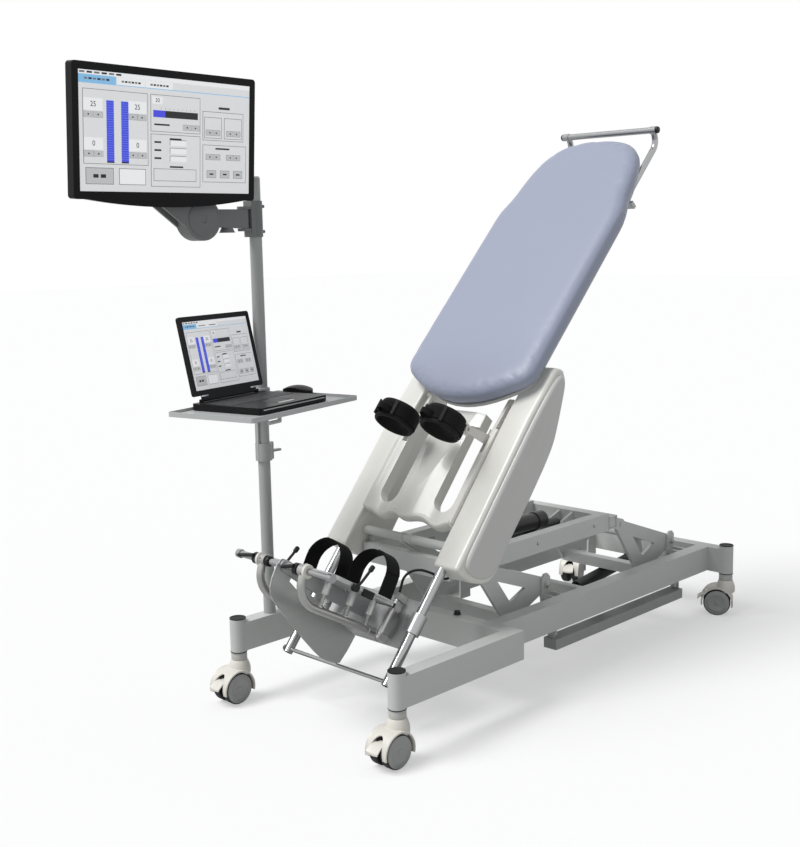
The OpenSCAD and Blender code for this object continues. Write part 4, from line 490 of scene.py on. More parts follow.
def smooth_path(points, count=60):
    """A Catmull-Rom curve through the points."""
    p = np.asarray(points, float)
    p = np.vstack([2 * p[0] - p[1], p, 2 * p[-1] - p[-2]])
    spans = len(p) - 3
    t = np.linspace(0, spans - 1e-9, count)
    i = t.astype(int)
    u = (t - i)[:, None]
    a, b, c, d = p[i], p[i + 1], p[i + 2], p[i + 3]
    square, cube = 2 * a - 5 * b + 4 * c - d, 3 * b - a - 3 * c + d
    return 0.5 * (2 * b + (c - a) * u + square * u ** 2 + cube * u ** 3)


def rounded_outline(corners, rounds, count=320):
    """A closed outline whose corners are cut again and again, its points then spaced evenly."""
    line = np.asarray(corners, float)
    for _ in range(rounds):
        after = np.roll(line, -1, 0)
        line = np.stack([line * 0.75 + after * 0.25, line * 0.25 + after * 0.75], 1).reshape(-1, 2)
    ends = np.vstack([line, line[:1]])
    run = np.r_[0, np.cumsum(np.linalg.norm(np.diff(ends, axis=0), axis=1))]
    spots = np.linspace(0, run[-1], count, endpoint=False)
    return np.stack([np.interp(spots, run, ends[:, k]) for k in (0, 1)], -1)


def drawn_in(outline, depth):
    """The outline moved inwards along its normals by depth."""
    along = np.roll(outline, -1, 0) - np.roll(outline, 1, 0)
    along /= np.linalg.norm(along, axis=1)[:, None]
    after = np.roll(outline, -1, 0)
    turn = np.sign((outline[:, 0] * after[:, 1] - outline[:, 1] * after[:, 0]).sum())
    return outline + depth * turn * np.stack([-along[:, 1], along[:, 0]], -1)


def moulding(outline, profile, side):
    """A side view's outline carried sideways through (distance, drawing-in) pairs."""
    rings = []
    for distance, depth in profile:
        s, n = drawn_in(outline, depth).T
        rings.append(np.stack([s, np.full(len(s), side * distance), n], -1))
    return loft(rings)


# The casing is a closed rounded shell with a raised side panel.
CASING_LINE = rounded_outline([
    (371, -40), (371, -24), (371, -0.3), (397, -0.3), (440, -0.3), (860, -0.3), (905, -0.3), (950, -3.4),
    (1064, -11.4), (1096, -13.6), (1104, -30), (1113, -46), (1104, -64), (1092, -82), (1039, -108),
    (964, -138), (886, -164), (709, -168), (547, -165), (470, -171), (432, -166), (404, -150), (388, -120),
    (374, -86)], 3)
PANEL_LINE = rounded_outline([
    (387, -58), (390, -30), (408, -17), (450, -14), (860, -14), (950, -17), (1050, -25), (1084, -34),
    (1094, -50), (1080, -74), (1030, -96), (960, -124), (884, -150), (709, -154), (552, -151), (474, -157),
    (436, -150), (412, -132), (394, -98)], 3)
SHELL_EDGE = [(190.6, 7.0), (191.8, 3.2), (194.6, 0.9), (199, 0), (272, 0), (277.6, 0.9), (282, 3.4),
              (284.8, 7.4), (285.6, 11)]
PANEL_EDGE = [(283.6, 0), (287.6, 0.3), (291.6, 1.9), (294.8, 4.6), (296.8, 8.4), (297.6, 12.5)]
for side, hand in HANDS:
    casing = piece(f"casing_shell_{hand}", put(CASING, LEG, moulding(CASING_LINE, SHELL_EDGE, side)),
                   "bed", sharp=50)
    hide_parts(f"casing_{hand}")
    piece(f"casing_panel_{hand}", put(PANEL_GREY_AND_SHADE, LEG, moulding(PANEL_LINE, PANEL_EDGE, side)),
          "bed", sharp=50)

# Lip of the leg cover: the moulding's lower edge is rolled to a thick soft bead that follows the two leg
# troughs and the ridge between them.
LIP_HALF, TROUGH_Y, LIP_START = 187, 116, 500
lip_y = np.linspace(-LIP_HALF, LIP_HALF, 81)
lip_wave = LIP_START + 6.5 * (1 - np.cos(2 * np.pi * np.abs(lip_y) / TROUGH_Y))
lip_out = np.maximum(0, (np.abs(lip_y) - TROUGH_Y) / 73.5)
lip_rise = 20 - 28 * np.sin(np.pi / 2 * np.minimum(1, np.abs(lip_y) / TROUGH_Y)) ** 2 + 18 * lip_out ** 2
lip_turn = np.linspace(0, 2 * np.pi, 28, endpoint=False)
lip_section = np.stack([9.5 * np.sign(np.cos(lip_turn)) * np.abs(np.cos(lip_turn)) ** 0.8,
                        20.5 * np.sign(np.sin(lip_turn)) * np.abs(np.sin(lip_turn)) ** 0.7], -1)
lip_bead = sweep(np.stack([lip_wave + 3, lip_y, lip_rise - 18.6], -1), lip_section, (1, 0, 0))
piece("cover_lip", put(COVER, LEG, lip_bead), "bed", sharp=60)


def grain_cells(tree, place):
    """Vinyl grain: the distance to the edges of small irregular cells."""
    cells = node(tree, "ShaderNodeTexVoronoi", {"Vector": place, "Scale": 420.0}, feature="DISTANCE_TO_EDGE")
    return sums(tree, "MINIMUM", sums(tree, "MULTIPLY", cells.outputs["Distance"], 3.0), 1.0)


VINYL = finish("cushion_vinyl", (0.312, 0.342, 0.445), 0.42, tint=0.035, spread=0.06, scale=3.0, bump=0.16,
               depth=0.0004, detail=grain_cells)


def apply_all(item):
    """Bakes the object's modifiers into its mesh."""
    graph = bpy.context.evaluated_depsgraph_get()
    graph.update()
    mesh = bpy.data.meshes.new_from_object(item.evaluated_get(graph))
    item.modifiers.clear()
    item.data = mesh


def vertices(mesh):
    """The mesh's points as an array."""
    flat = np.zeros(len(mesh.vertices) * 3)
    mesh.vertices.foreach_get("co", flat)
    return flat.reshape(-1, 3)


PAD_WELD, PAD_VOXEL, PAD_PRESSURE, PAD_SWELL, BOARD_TOP = 0.00005, 0.008, 3.0, 0.004, 12.6


def swell(item):
    """Remeshes the pad and swells it as cloth under pressure, each point kept near its start."""
    remesh = item.modifiers.new("remesh", "REMESH")
    remesh.mode = "VOXEL"
    remesh.voxel_size = PAD_VOXEL
    apply_all(item)
    start = vertices(item.data)
    cloth = item.modifiers.new("cloth", "CLOTH").settings
    cloth.use_pressure = True
    cloth.uniform_pressure_force = PAD_PRESSURE
    cloth.effector_weights.gravity = 0
    cloth.quality = 4
    cloth.tension_stiffness = cloth.compression_stiffness = 18
    cloth.bending_stiffness = 1.2
    for step in range(1, 21):
        bpy.context.scene.frame_set(step)
    apply_all(item)
    bpy.context.scene.frame_set(1)
    shift = vertices(item.data) - start
    far = np.maximum(np.linalg.norm(shift, axis=1), 1e-9)
    shift *= np.minimum(1, PAD_SWELL / far)[:, None]
    item.data.vertices.foreach_set("co", (start + shift).ravel())


pad_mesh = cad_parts["cushion"].data.copy()
pad_mesh.name = "cushion_pad"
cushion = added("cushion_pad", pad_mesh)
cushion.modifiers.new("weld", "WELD").merge_threshold = PAD_WELD
swell(cushion)
to_back = np.linalg.inv(BACK)
spots = vertices(cushion.data) / MM @ to_back[:3, :3].T + to_back[:3, 3]
spots[:, 2] = np.maximum(spots[:, 2], BOARD_TOP)
spots = spots @ BACK[:3, :3].T + BACK[:3, 3]
cushion.data.vertices.foreach_set("co", (spots * MM).ravel())
cushion.data.materials.clear()
cushion.data.materials.append(VINYL)
cushion.data.polygons.foreach_set("use_smooth", np.ones(len(cushion.data.polygons), bool))
soften = cushion.modifiers.new("soften", "SUBSURF")
soften.levels = soften.render_levels = 1
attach(cushion, "bed")
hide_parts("cushion")

# Push handle at the head end: a chromed tube on two bent stems, with black plastic plugs in its ends.
PLUG = finish("plug_plastic", (0.016, 0.016, 0.017), 0.35, tint=0.2, shine=0.25)
dress(CHROME, "push_handle")
plug = revolve([(11.2, 0), (11.6, 1), (11.6, 6.5), (10.6, 8.4), (8.0, 9.2), (0.4, 9.4)], 32)
BAR_S, BAR_END, BAR_RISE = 1206, 196, 37
bar_ends = [BACK @ moved(BAR_S, s * BAR_END, BAR_RISE) @ turned("X", -90 * s) for s in (-1, 1)]
piece("handle_plugs", [(placed(plug, end), PLUG) for end in bar_ends], "bed")

# Thigh drives: cream flat arms with drilled holes that swing the legs from shafts in the casings.
ARM_PAINT = finish("arm_paint", (0.70, 0.69, 0.65), 0.34)
dress(ARM_PAINT, "drive_arm_right", "drive_arm_left")

# Thigh cuffs: black foam sleeves in a woven cover, each with a webbing band round its middle, two plastic
# bars across the band and a pull loop standing up at the top. A lug with a pin joins each to its arm.
CUFF_S, CUFF_Y, CUFF_N = 775, 98, 135
LUG_S, LUG_Y, LUG_N, PIN_Y, PIN_N = 787, 154.5, 104, 151, 92
CUFF_HALF, CUFF_THICK, CUFF_MIDDLE = 32.5, 6.6, 59.6
BAND_RADIUS, LOOP_HALF, LOOP_RISE, BUCKLE_LEANS, BUCKLE_RADIUS = 68.2, 21, 27, (60, 125), 71


def weave(tree, place):
    """Plain weave: two crossed sine ribs, each thread about a millimetre wide."""
    warp = node(tree, "ShaderNodeTexWave", {"Vector": place, "Scale": 260.0, "Distortion": 0.4},
                bands_direction="Y")
    weft = node(tree, "ShaderNodeTexWave", {"Vector": place, "Scale": 260.0, "Distortion": 0.4},
                bands_direction="DIAGONAL")
    return sums(tree, "MULTIPLY", warp.outputs["Fac"], weft.outputs["Fac"])


PADDING = finish("cuff_cover", (0.012, 0.012, 0.013), 0.66, tint=0.4, spread=0.15, bump=0.3, shine=0.15,
                 detail=weave)
WEBBING = finish("webbing", (0.009, 0.009, 0.010), 0.75, tint=0.4, spread=0.1, bump=0.4, shine=0.12,
                 detail=weave)
BUCKLE = finish("buckle_plastic", (0.013, 0.013, 0.014), 0.38, tint=0.2, shine=0.25)


def cuff_ring():
    """A closed tube whose section is a flat oval, with rounded ribs outside and slightly wavy rims."""
    turn = np.linspace(0, 2 * np.pi, 72, endpoint=False)
    around = np.linspace(0, 2 * np.pi, 40, endpoint=False)
    along = CUFF_HALF * np.sign(np.cos(around)) * np.abs(np.cos(around)) ** 0.5
    out = CUFF_THICK * np.sign(np.sin(around)) * np.abs(np.sin(around)) ** 0.6
    out = out + np.where(out > 0, 1.1 * np.cos(along / CUFF_HALF * 2.2 * np.pi), 0.5)
    radius = CUFF_MIDDLE + out[None, :] + 0.7 * np.sin(5 * turn)[:, None] * np.cos(around / 2)[None, :] ** 2
    return loft(np.stack([np.broadcast_to(along, radius.shape), radius * np.cos(turn)[:, None],
                          radius * np.sin(turn)[:, None]], -1), closed=True)


def rounded_box(width, depth, height, bevel):
    """A box about its own middle with bevelled edges: four rings whose corners are quarter rounds."""
    def ring(w, d, z):
        corners = []
        for k, (sx, sy) in enumerate(((1, 1), (-1, 1), (-1, -1), (1, -1))):
            for step in (0, 45, 90):
                a = np.radians(step + 90 * k)
                x, y = sx * (w / 2 - bevel) + bevel * np.cos(a), sy * (d / 2 - bevel) + bevel * np.sin(a)
                corners.append((x, y, z))
        return corners
    inner = 0.6 * bevel
    end = (width - 2 * inner, depth - 2 * inner)
    return loft([ring(*end, -height / 2), ring(width, depth, -height / 2 + inner),
                 ring(width, depth, height / 2 - inner), ring(*end, height / 2)])


def tape(half, edge, thick):
    """The section of a webbing tape: flat faces out to half, drawn to a thin edge."""
    return np.array([(-half, -thick), (half, -thick), (edge, 0), (half, thick), (-half, thick), (-edge, 0)])


band_path = np.c_[np.zeros(72), circle(BAND_RADIUS, 72)]
loop_turn = np.linspace(0, np.pi, 24)
loop_path = np.stack([np.zeros(24), LOOP_HALF * np.cos(loop_turn), LOOP_RISE * np.sin(loop_turn)], -1)
for side, hand in HANDS:
    seat = LEG @ moved(CUFF_S, side * CUFF_Y, CUFF_N)
    cuff = piece(f"cuff_pad_{hand}", put(PADDING, seat, cuff_ring()), f"cuff_{hand}")
    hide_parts(f"cuff_{hand}")
    parts = put(WEBBING, seat, sweep(band_path, tape(19, 20, 1.3), (1, 0, 0), closed=True))
    for lean in BUCKLE_LEANS:
        on_band = seat @ turned("X", (90 - lean) * side) @ moved(0, 0, BUCKLE_RADIUS)
        parts += put(BUCKLE, on_band, rounded_box(50, 10, 6, 1.8))
    parts += put(WEBBING, seat @ moved(-12, side * -8, 66), sweep(loop_path, tape(9, 9.8, 1.1), (1, 0, 0)))
    piece(f"cuff_band_{hand}", parts, f"cuff_{hand}")
    parts = put(ARM_PAINT, LEG @ moved(LUG_S, side * LUG_Y, LUG_N), rounded_box(34, 6, 62, 2))
    parts += put(STEEL, LEG @ moved(LUG_S, side * PIN_Y, PIN_N) @ turned("X", 90 * side), *hex_bolt(6, 4))
    piece(f"cuff_lug_{hand}", parts, f"cuff_{hand}")

# Foot unit: chromed telescopic tubes with an end rod, a satin carriage, a brushed guard plate, the cross
# shaft with ivory collars, and two sprung foot plates on J-shaped pipes.
dress(CHROME, "leg_tubes", "foot_shaft")
SATIN = finish("satin_steel", (0.45, 0.455, 0.46), 0.34, metal=0.9, tint=0.08, spread=0.1, bump=0.03)
dress(SATIN, "foot_carriage")
BRUSHED = finish("brushed_plate", (0.50, 0.51, 0.50), 0.36, metal=0.75, tint=0.10, spread=0.16,
                 stretch=(1, 1, 14), grain=260, bump=0.05)
dress(BRUSHED, "foot_guard", "foot_plate_right", "foot_plate_left")
PIPE = finish("pipe_satin", (0.46, 0.46, 0.45), 0.30, metal=0.85, tint=0.08)
IVORY = finish("ivory_plastic", (0.74, 0.72, 0.66), 0.3)
dress(PIPE, "guide_dampers")
FOOT_Y, SHAFT, SOLE_Y, SOLE_LEAN = 88, (150, 345), 102, 9.4
PIPE_TOP, PIPE_END, TOE = np.array([79.0, 255.0]), np.array([131.0, -6.0]), np.array([165.0, 300.0])
POST_DIR = np.array([np.cos(np.radians(SOLE_LEAN)), np.sin(np.radians(SOLE_LEAN))])
SOLE_TURN = 90 - SOLE_LEAN
POST_SHARES, POST_SHORT, SPRING_SHORT, SPRING_START = (0.1, 0.5, 0.84), 32, 44, 12.8
COIL_TURNS, COIL_RADIUS, COIL_WIRE = 6, 8.2, 1.1
PIPE_RADIUS, SCREW_LEANS, SCREW_RADIUS = 12, (20, 140, 260), 17.4


def post_seat(side, share):
    """The place on the pipe that a post stands on, and how far the toe's level lies above it."""
    s, n = PIPE_TOP + (PIPE_END - PIPE_TOP) * share
    return LEG @ moved(s, side * FOOT_Y, n) @ turned("Y", SOLE_TURN), (TOE - (s, n)) @ POST_DIR


knuckle = revolve([(11, -15), (16.6, -15), (17.6, -13.6), (17.6, -3), (18.6, -2), (18.6, 5), (17.6, 6),
                   (17.6, 9), (11, 9)], 40)
ring = revolve([(17.0, 8.6), (19.8, 9), (20.6, 10.4), (20.0, 17), (17.6, 18.4), (12, 18.6)], 40)
joint = revolve([(12, -30), (14.6, -29.4), (15.6, -27), (15.6, -20), (13.2, -18.6), (13.2, -15)], 32)
tip = revolve([(12.2, -30), (13.4, -29), (13.4, 0.6), (12.2, 2.2), (9.0, 2.2), (8.6, -6), (0.4, -6.2)], 32)
tip_turn = np.degrees(np.arctan2(*(PIPE_END - PIPE_TOP)))
bend = [SHAFT, (127, 339.5), (104, 326), (86.5, 302), (78.5, 271), (82, 240), (90, 200)]
for side, hand in HANDS:
    at_shaft = LEG @ moved(SHAFT[0], side * FOOT_Y, SHAFT[1]) @ turned("X", -90 * side)
    at_tip = LEG @ moved(PIPE_END[0], side * FOOT_Y, PIPE_END[1]) @ turned("Y", tip_turn)
    cane = smooth_path([(s, side * FOOT_Y, n) for s, n in bend], 48)
    cane = np.vstack([cane, [(PIPE_END[0], side * FOOT_Y, PIPE_END[1])]])
    parts = put(PIPE, at_shaft, knuckle) + put(IVORY, at_shaft, ring) + put(BUCKLE, at_shaft, joint)
    parts += put(PIPE, LEG, sweep(cane, circle(PIPE_RADIUS, 24))) + put(PIPE, at_tip, tip)
    for lean in SCREW_LEANS:
        at_bolt = at_shaft @ turned("Z", lean) @ moved(SCREW_RADIUS, 0, 1.5) @ turned("Y", 90)
        parts += put(STEEL, at_bolt, *hex_bolt(3.4, 2.4))
    posts = [post_seat(side, share) for share in POST_SHARES]
    for at_post, rise in posts:
        reach = rise - POST_SHORT
        post = [(8, 0), (8, 12.6), (6.6, 13.2), (5, 13.4), (5, reach), (3.6, reach + 1), (0.4, reach + 1)]
        parts += put(PIPE, at_post, revolve(post, 24))
    pipe = piece(f"foot_pipe_{hand}", parts, f"foot_link_{hand}")
    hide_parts(f"foot_link_{hand}")
    for k, (at_post, rise) in enumerate(posts):
        turn = np.linspace(0, 2 * np.pi * COIL_TURNS, COIL_TURNS * 20)
        climb = np.linspace(SPRING_START, rise - SPRING_SHORT - 1.2, len(turn))
        coil = np.stack([COIL_RADIUS * np.cos(turn), COIL_RADIUS * np.sin(turn), climb], -1)
        wire = put(STEEL, at_post, sweep(coil, circle(COIL_WIRE, 8), (0, 0, 1)))
        spring = piece(f"sole_spring_{hand}_{k}", wire, f"foot_link_{hand}")
        lean = LEG[:3, :3] @ np.array([POST_DIR[0], 0, POST_DIR[1]])
        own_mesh(spring)

# Foot straps: broad black hook-and-loop webbing arched over the instep, its tail lapped at the outer side.
SOLE = {side: LEG @ moved(TOE[0], side * SOLE_Y, TOE[1]) @ turned("Y", SOLE_TURN) for side in (-1, 1)}
STRAP_RISE, STRAP_HALF, STRAP_S, STRAP_SEAT = 122.4, 72.4, 205, 12.6
strap_turn = np.radians(np.linspace(-90, 90, 60))
arch_rise = STRAP_RISE * (0.45 + 0.55 * np.cos(strap_turn))
arch = np.stack([np.zeros(60), STRAP_HALF * np.sin(strap_turn), arch_rise], -1)
foot = np.array([(0, STRAP_HALF * 0.985, 0), (0, STRAP_HALF * 0.99, STRAP_RISE * 0.22)])
strap_path = np.vstack([foot * (1, -1, 1), arch, foot[::-1]])
lap_turn = np.linspace(0.4, 1.5, 24)
lap_path = strap_path[34:58] + 2.56 * np.stack([np.zeros(24), np.sin(lap_turn), np.cos(lap_turn)], -1)
strap_tape = tape(28.6, 29, 1.2)
for side, hand in HANDS:
    spot = SOLE[side] @ moved(STRAP_S, side * -4, STRAP_SEAT)
    whole = sweep(strap_path, strap_tape, (1, 0, 0))
    tail = sweep(lap_path * (1, side, 1), strap_tape * (0.96, 1), (1, 0, 0))
    strap = piece(f"foot_strap_{hand}_web", put(WEBBING, spot, whole, tail), f"foot_plate_{hand}")
    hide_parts(f"foot_strap_{hand}")

# Foot plate fittings: a black swivel clamp and an angle lever at the outer edge of each plate, four screws
# on its face, and a dark rubber edge along the heel.
grip = revolve([(0.4, -8), (10.5, -8), (12, -6.4), (12, 6.4), (10.5, 8), (0.4, 8)], 32)
knob = revolve([(0.4, -3), (6.4, -3), (7.4, 0), (7.4, 12), (5.6, 15), (0.4, 15.4)], 24)
GRIP_S, KNOB_S, BLOCK_S, HEEL_S, SOLE_FACE = 92, 121, 150, 279, 11.6
for side, hand in HANDS:
    sole = SOLE[side]
    rod = [(GRIP_S, side * 60, 2), (104, side * 61, 24), (116, side * 61, 52), (KNOB_S, side * 61, 66)]
    parts = put(BUCKLE, sole @ moved(GRIP_S, side * 57, 2) @ turned("X", 90), grip)
    parts += put(BUCKLE, sole, sweep(rod, circle(4.2, 14)))
    parts += put(BUCKLE, sole @ moved(KNOB_S, side * 61, 64) @ turned("Y", 20), knob)
    parts += put(BUCKLE, sole @ moved(BLOCK_S, side * 55, 0), rounded_box(46, 9, 22, 2.5))
    parts += put(RUBBER, sole @ moved(HEEL_S, 0, 5), rounded_box(5, 96, 14, 2))
    for x, y in ((40, 0), (140, side * 38), (250, side * 30), (250, side * -30)):
        parts += put(STEEL, sole @ moved(x, y, SOLE_FACE), *hex_bolt(5, 3.4))
    piece(f"sole_fittings_{hand}", parts, f"foot_plate_{hand}")

# Clamp levers: black plastic handles on the cross shaft beside the collars.
dress(BUCKLE, "clamp_lever_right", "clamp_lever_left")

# Drive cable: a black rubber lead from the damper's head, looping up and over into the near casing. It is
# baked in place and rides on no body.
CABLE_ROUTE = [(263, -127, 8), (282, -127, 14), (304, -132, 24), (326, -146, 26), (344, -166, 12),
               (352, -184, -14), (356, -198, -44), (361, -204, -62), (368, -206, -70)]
CABLE_RADIUS = 3.9
cable_line = smooth_path(CABLE_ROUTE, 70)
cable_tube = sweep(cable_line, circle(CABLE_RADIUS, 16), (0.1, 0.2, 1))
cable = piece("drive_lead", put(RUBBER, LEG, cable_tube), None)
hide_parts("drive_cable")
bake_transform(cable)

# Screen arm: a dark grey arm with a big round knuckle, on a bracket clamped round the pole.
ARM_GREY = finish("arm_grey_paint", (0.185, 0.19, 0.19), 0.42, tint=0.08, bump=0.15, shine=0.35)
dress(ARM_GREY, "arm_bracket", "arm_link", "arm_head")
knuckle_cap = revolve([(50, -0.4), (50, 2.0), (46, 4.5), (12, 5.2), (10, 3.4), (0.4, 3.4)], 56)
KNUCKLE_X, KNUCKLE_FACE, KNUCKLE_Z = -82, 24.6, 1479
caps = []
for s in (-1, 1):
    on_face = BASE @ moved(KNUCKLE_X, COLUMN_Y + s * KNUCKLE_FACE, KNUCKLE_Z) @ turned("X", -90 * s)
    caps += put(ARM_GREY, on_face, knuckle_cap)
piece("knuckle_caps", caps, "screen")

# Screen: a glossy black housing round a wide panel that shows two force bars, a progress bar and
# numbered boxes. The picture is built from thin coloured films laid on the glass.
GLOSS_BLACK = finish("gloss_black", (0.008, 0.008, 0.009), 0.22, tint=0.2, spread=0.05, bump=0.02, shine=0.12)
dress(GLOSS_BLACK, "screen_housing")
SCREEN_PLACE, SCREEN_TURN, SCREEN_PITCH, GLASS_LIFT = (-222, 280, 1704), 4, 4, 11.9
PANEL_W, PANEL_H, FILM_THICK = 586, 306, 0.12
SCREEN = BASE @ moved(*SCREEN_PLACE) @ turned("Z", SCREEN_TURN) @ turned("X", SCREEN_PITCH)
FILM = {key: finish("film_" + key, colour, 0.25, tint=0.01, spread=0.02, bump=0.0, glow=glow)
        for key, colour, glow in (("page", (0.76, 0.77, 0.78), 0.38), ("white", (0.90, 0.91, 0.92), 0.38),
                                  ("box", (0.60, 0.61, 0.62), 0.3), ("line", (0.25, 0.26, 0.27), 0.1),
                                  ("blue", (0.06, 0.07, 0.75), 0.4), ("sky", (0.25, 0.55, 0.85), 0.35),
                                  ("ink", (0.01, 0.01, 0.012), 0.05))}
dress(FILM["page"], "screen_panel")


def film_sheet(x0, z0, x1, z1, lift):
    """A thin flat film between two corners, its face towards -Y, lift in front of the screen's plane."""
    low, high = (min(x0, x1), min(z0, z1)), (max(x0, x1), max(z0, z1))
    ring = np.array([(low[0], 0, low[1]), (high[0], 0, low[1]), (high[0], 0, high[1]), (low[0], 0, high[1])])
    return loft([ring + (0, -lift, 0), ring + (0, -lift + FILM_THICK, 0)])


def digits(text, x, z, size, lift):
    """Plain figures as meshes, their middle at x, z."""
    curve = bpy.data.curves.new("figures", "FONT")
    curve.body, curve.size, curve.align_x, curve.align_y = text, size, "CENTER", "CENTER"
    item = added("figures", curve)
    graph = bpy.context.evaluated_depsgraph_get()
    mesh = bpy.data.meshes.new_from_object(item.evaluated_get(graph))
    points = vertices(mesh)
    points = np.stack([points[:, 0] + x, np.full(len(points), -lift), points[:, 1] + z], -1)
    mesh.calc_loop_triangles()
    faces = np.array([[*t.vertices, -1] for t in mesh.loop_triangles])
    bpy.data.objects.remove(item)
    return points, faces


def console_picture(width, height, place, lift):
    """The control program's page as films: strips, frames, bars, boxes and figures in shares of the panel."""
    parts = []

    def film(kind, x0, z0, x1, z1, up):
        left, right = (x0 - 0.5) * width, (x1 - 0.5) * width
        top, low = (0.5 - z0) * height, (0.5 - z1) * height
        parts.extend(put(FILM[kind], place, film_sheet(left, top, right, low, lift + up)))

    def figure(text, x, z, size):
        shape = digits(text, (x - 0.5) * width, (0.5 - z) * height, size * height, lift + 0.8)
        parts.extend(put(FILM["ink"], place, shape))

    def boxed(x0, z0, x1, z1, up=0.2):
        edge = 0.0028
        film("line", x0, z0, x1, z1, up)
        film("page", x0 + edge, z0 + edge * 1.6, x1 - edge, z1 - edge * 1.6, up + 0.15)

    def button(x, z, up=0.35):
        film("line", x - 0.026, z - 0.026, x + 0.026, z + 0.026, up)
        film("box", x - 0.0245, z - 0.0235, x + 0.0245, z + 0.0235, up + 0.12)
        film("ink", x - 0.004, z - 0.006, x + 0.004, z + 0.006, up + 0.24)

    # Title strip, tabs and the dashes that stand for their words
    for kind, x0, z0, x1, z1 in (("white", 0, 0, 1, 0.035), ("sky", 0, 0.035, 0.20, 0.10),
                                 ("white", 0.205, 0.04, 0.36, 0.10), ("white", 0.365, 0.04, 0.52, 0.10),
                                 ("sky", 0, 0.10, 1, 0.106)):
        film(kind, x0, z0, x1, z1, 0.2)
    for x0, x1, z in ((0.005, 0.24, 0.017), (0.03, 0.17, 0.068), (0.23, 0.34, 0.070), (0.39, 0.50, 0.072)):
        step = (x1 - x0) / 6
        for k in range(6):
            film("ink" if k % 2 else "line", x0 + step * k, z - 0.008, x0 + step * (k + 0.72), z + 0.008, 0.4)
    # Two force bars with their scales, the limits beside them and two keys below
    boxed(0.02, 0.15, 0.375, 0.77)
    for x in (0.145, 0.225):
        film("blue", x, 0.235, x + 0.04, 0.745, 0.6)
        film("ink", x, 0.745, x + 0.04, 0.757, 0.6)
        for k in range(26):
            film("sky", x, 0.235 + 0.0196 * k, x + 0.04, 0.2365 + 0.0196 * k, 0.75)
    for x in (0.075, 0.315):
        for z, text in ((0.275, "25"), (0.60, "0")):
            film("white", x - 0.05, z - 0.05, x + 0.05, z + 0.05, 0.5)
            figure(text, x, z, 0.062)
            button(x - 0.026, z + 0.085)
            button(x + 0.026, z + 0.085)
    for x0, x1, kind in ((0.03, 0.18, "box"), (0.21, 0.36, "white")):
        film("line", x0, 0.80, x1, 0.94, 0.2)
        film(kind, x0 + 0.003, 0.805, x1 - 0.003, 0.935, 0.35)
    for x in (0.07, 0.11):
        film("ink", x, 0.855, x + 0.028, 0.885, 0.5)
    # Progress bar with its count, and a list of three values
    boxed(0.39, 0.15, 0.685, 0.47)
    film("white", 0.40, 0.17, 0.46, 0.23, 0.5)
    figure("20", 0.43, 0.2, 0.05)
    film("ink", 0.405, 0.285, 0.67, 0.345, 0.5)
    film("blue", 0.405, 0.285, 0.475, 0.345, 0.65)
    for k in range(9):
        film("line", 0.45 + 0.025 * k, 0.262, 0.452 + 0.025 * k, 0.275, 0.5)
    button(0.605, 0.42)
    button(0.655, 0.42)
    boxed(0.39, 0.49, 0.685, 0.95)
    for z in (0.56, 0.63, 0.70):
        film("ink", 0.41, z - 0.008, 0.45, z + 0.008, 0.5)
        film("line", 0.50, z - 0.026, 0.60, z + 0.026, 0.5)
        film("white", 0.503, z - 0.021, 0.60, z + 0.026, 0.6)
    boxed(0.405, 0.79, 0.66, 0.90, 0.4)
    # Boxes of buttons on the right, and the dashes that head each box
    boxed(0.70, 0.26, 0.96, 0.52)
    boxed(0.71, 0.31, 0.82, 0.50, 0.4)
    boxed(0.835, 0.31, 0.95, 0.50, 0.4)
    boxed(0.70, 0.56, 0.96, 0.72)
    boxed(0.70, 0.56, 0.98, 0.90, 0.1)
    for x in (0.745, 0.785, 0.875, 0.915):
        button(x, 0.45, 0.6)
        button(x, 0.67, 0.6)
    for x in (0.755, 0.84, 0.925):
        film("line", x - 0.03, 0.79, x + 0.03, 0.86, 0.45)
        film("box", x - 0.028, 0.793, x + 0.028, 0.857, 0.55)
        film("ink", x - 0.012, 0.818, x + 0.012, 0.832, 0.65)
    for x0, z0, x1, z1 in ((0.41, 0.40, 0.50, 0.415), (0.80, 0.215, 0.87, 0.235), (0.78, 0.585, 0.87, 0.60),
                           (0.50, 0.52, 0.57, 0.535), (0.50, 0.765, 0.58, 0.78)):
        film("ink", x0, z0, x1, z1, 0.5)
    return parts


screen_page = console_picture(PANEL_W - 1, PANEL_H - 1, SCREEN, GLASS_LIFT)
piece("screen_picture", screen_page, "screen", sharp=20)

# Shelf: a grey pressed tray with a raised rim on a clamp band, with a bent rod handle under it.
TRAY = finish("tray_paint", (0.50, 0.515, 0.51), 0.45, tint=0.05, bump=0.25, grain=600)
dress(TRAY, "shelf_tray")
dress(POLE_PAINT, "shelf_clamp")

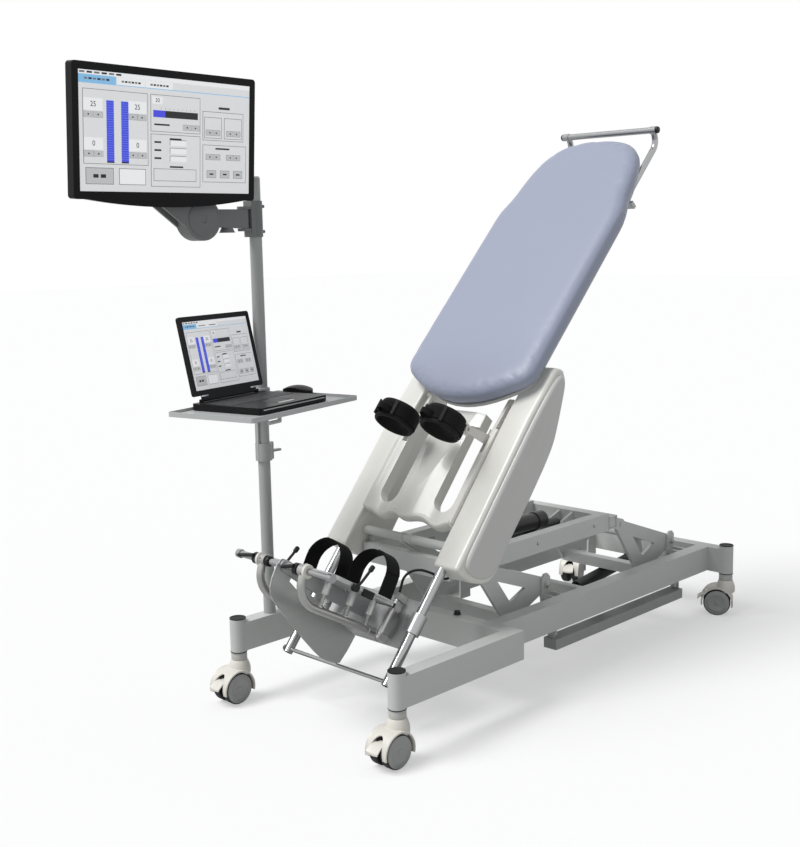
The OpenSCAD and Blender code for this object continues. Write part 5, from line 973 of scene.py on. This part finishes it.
# Laptop: a black base with a grey key field and a touch pad, and a lid with the same page on its panel.
LAPTOP_BLACK = finish("laptop_black", (0.010, 0.010, 0.011), 0.38, tint=0.2, bump=0.1, shine=0.15)
KEY_GREY = finish("key_grey", (0.045, 0.046, 0.05), 0.5, tint=0.1, shine=0.3)
SILVER = finish("silver_trim", (0.55, 0.55, 0.56), 0.3, metal=0.8)
dress(LAPTOP_BLACK, "laptop_base", "laptop_lid", "mouse")
SHELF_PLACE, SHELF_TURN, LAPTOP_PLACE = (-12, 152, 942), 13, (-5, 16, 0)
LAPTOP = BASE @ moved(*SHELF_PLACE) @ turned("Z", SHELF_TURN) @ moved(*LAPTOP_PLACE)
FIELD_W, FIELD_D, KEY_D, KEY_GAP, KEY_Z, PAD_Z = 284, 82, 13.8, 2.0, 18.9, 19.4
PAGE_H, PAGE_Z, PAGE_FACE, PAGE_EDGE = 197, 128, 3.7, 0.6
PAD_Y, BUTTON_Y, FRONT_Y, HINGE_Y, HINGE_Z, HINGE_X, LID_LEAN = -58, -92, -123.2, 114, 25, 112, -12.5
keys = []
for row, y in enumerate(np.linspace(0, FIELD_D, 6)):
    count = 15 if row else 13
    wide = FIELD_W / count
    for k in range(count):
        if row or k <= 3 or k >= 9:
            key = rounded_box(wide - KEY_GAP, KEY_D, 2.4, 0.8)
            keys += put(KEY_GREY, LAPTOP @ moved(wide * (k + 0.5) - FIELD_W / 2, y, KEY_Z), key)
space_bar = rounded_box(5 * FIELD_W / 13 - KEY_GAP, KEY_D, 2.4, 0.8)
keys += put(KEY_GREY, LAPTOP @ moved(0, 0, KEY_Z), space_bar)
keys += put(KEY_GREY, LAPTOP @ moved(0, PAD_Y, PAD_Z), rounded_box(80, 50, 1.2, 0.5))
for x in (-18, 18):
    keys += put(SILVER, LAPTOP @ moved(x, BUTTON_Y, 19.5), rounded_box(36, 10, 1.4, 0.5))
keys += put(SILVER, LAPTOP @ moved(0, FRONT_Y, 13), rounded_box(290, 1.2, 3, 0.5))
piece("laptop_keys", keys, "shelf")
LID = LAPTOP @ moved(0, HINGE_Y, HINGE_Z) @ turned("X", LID_LEAN)
lid_picture = LID @ moved(0, 0, PAGE_Z)
half_w, half_h = FIELD_W / 2 + PAGE_EDGE, PAGE_H / 2 + PAGE_EDGE
lid_page = put(FILM["page"], lid_picture, film_sheet(-half_w, -half_h, half_w, half_h, PAGE_FACE + 0.05))
piece("laptop_picture", lid_page + console_picture(FIELD_W, PAGE_H, lid_picture, PAGE_FACE), "laptop_lid",
      sharp=20)
trims = []
for x in (-HINGE_X, HINGE_X):
    trims += put(SILVER, LID @ moved(x, -4.3, 12), rounded_box(30, 1.2, 4, 0.5))
piece("laptop_hinges", trims, "laptop_lid")
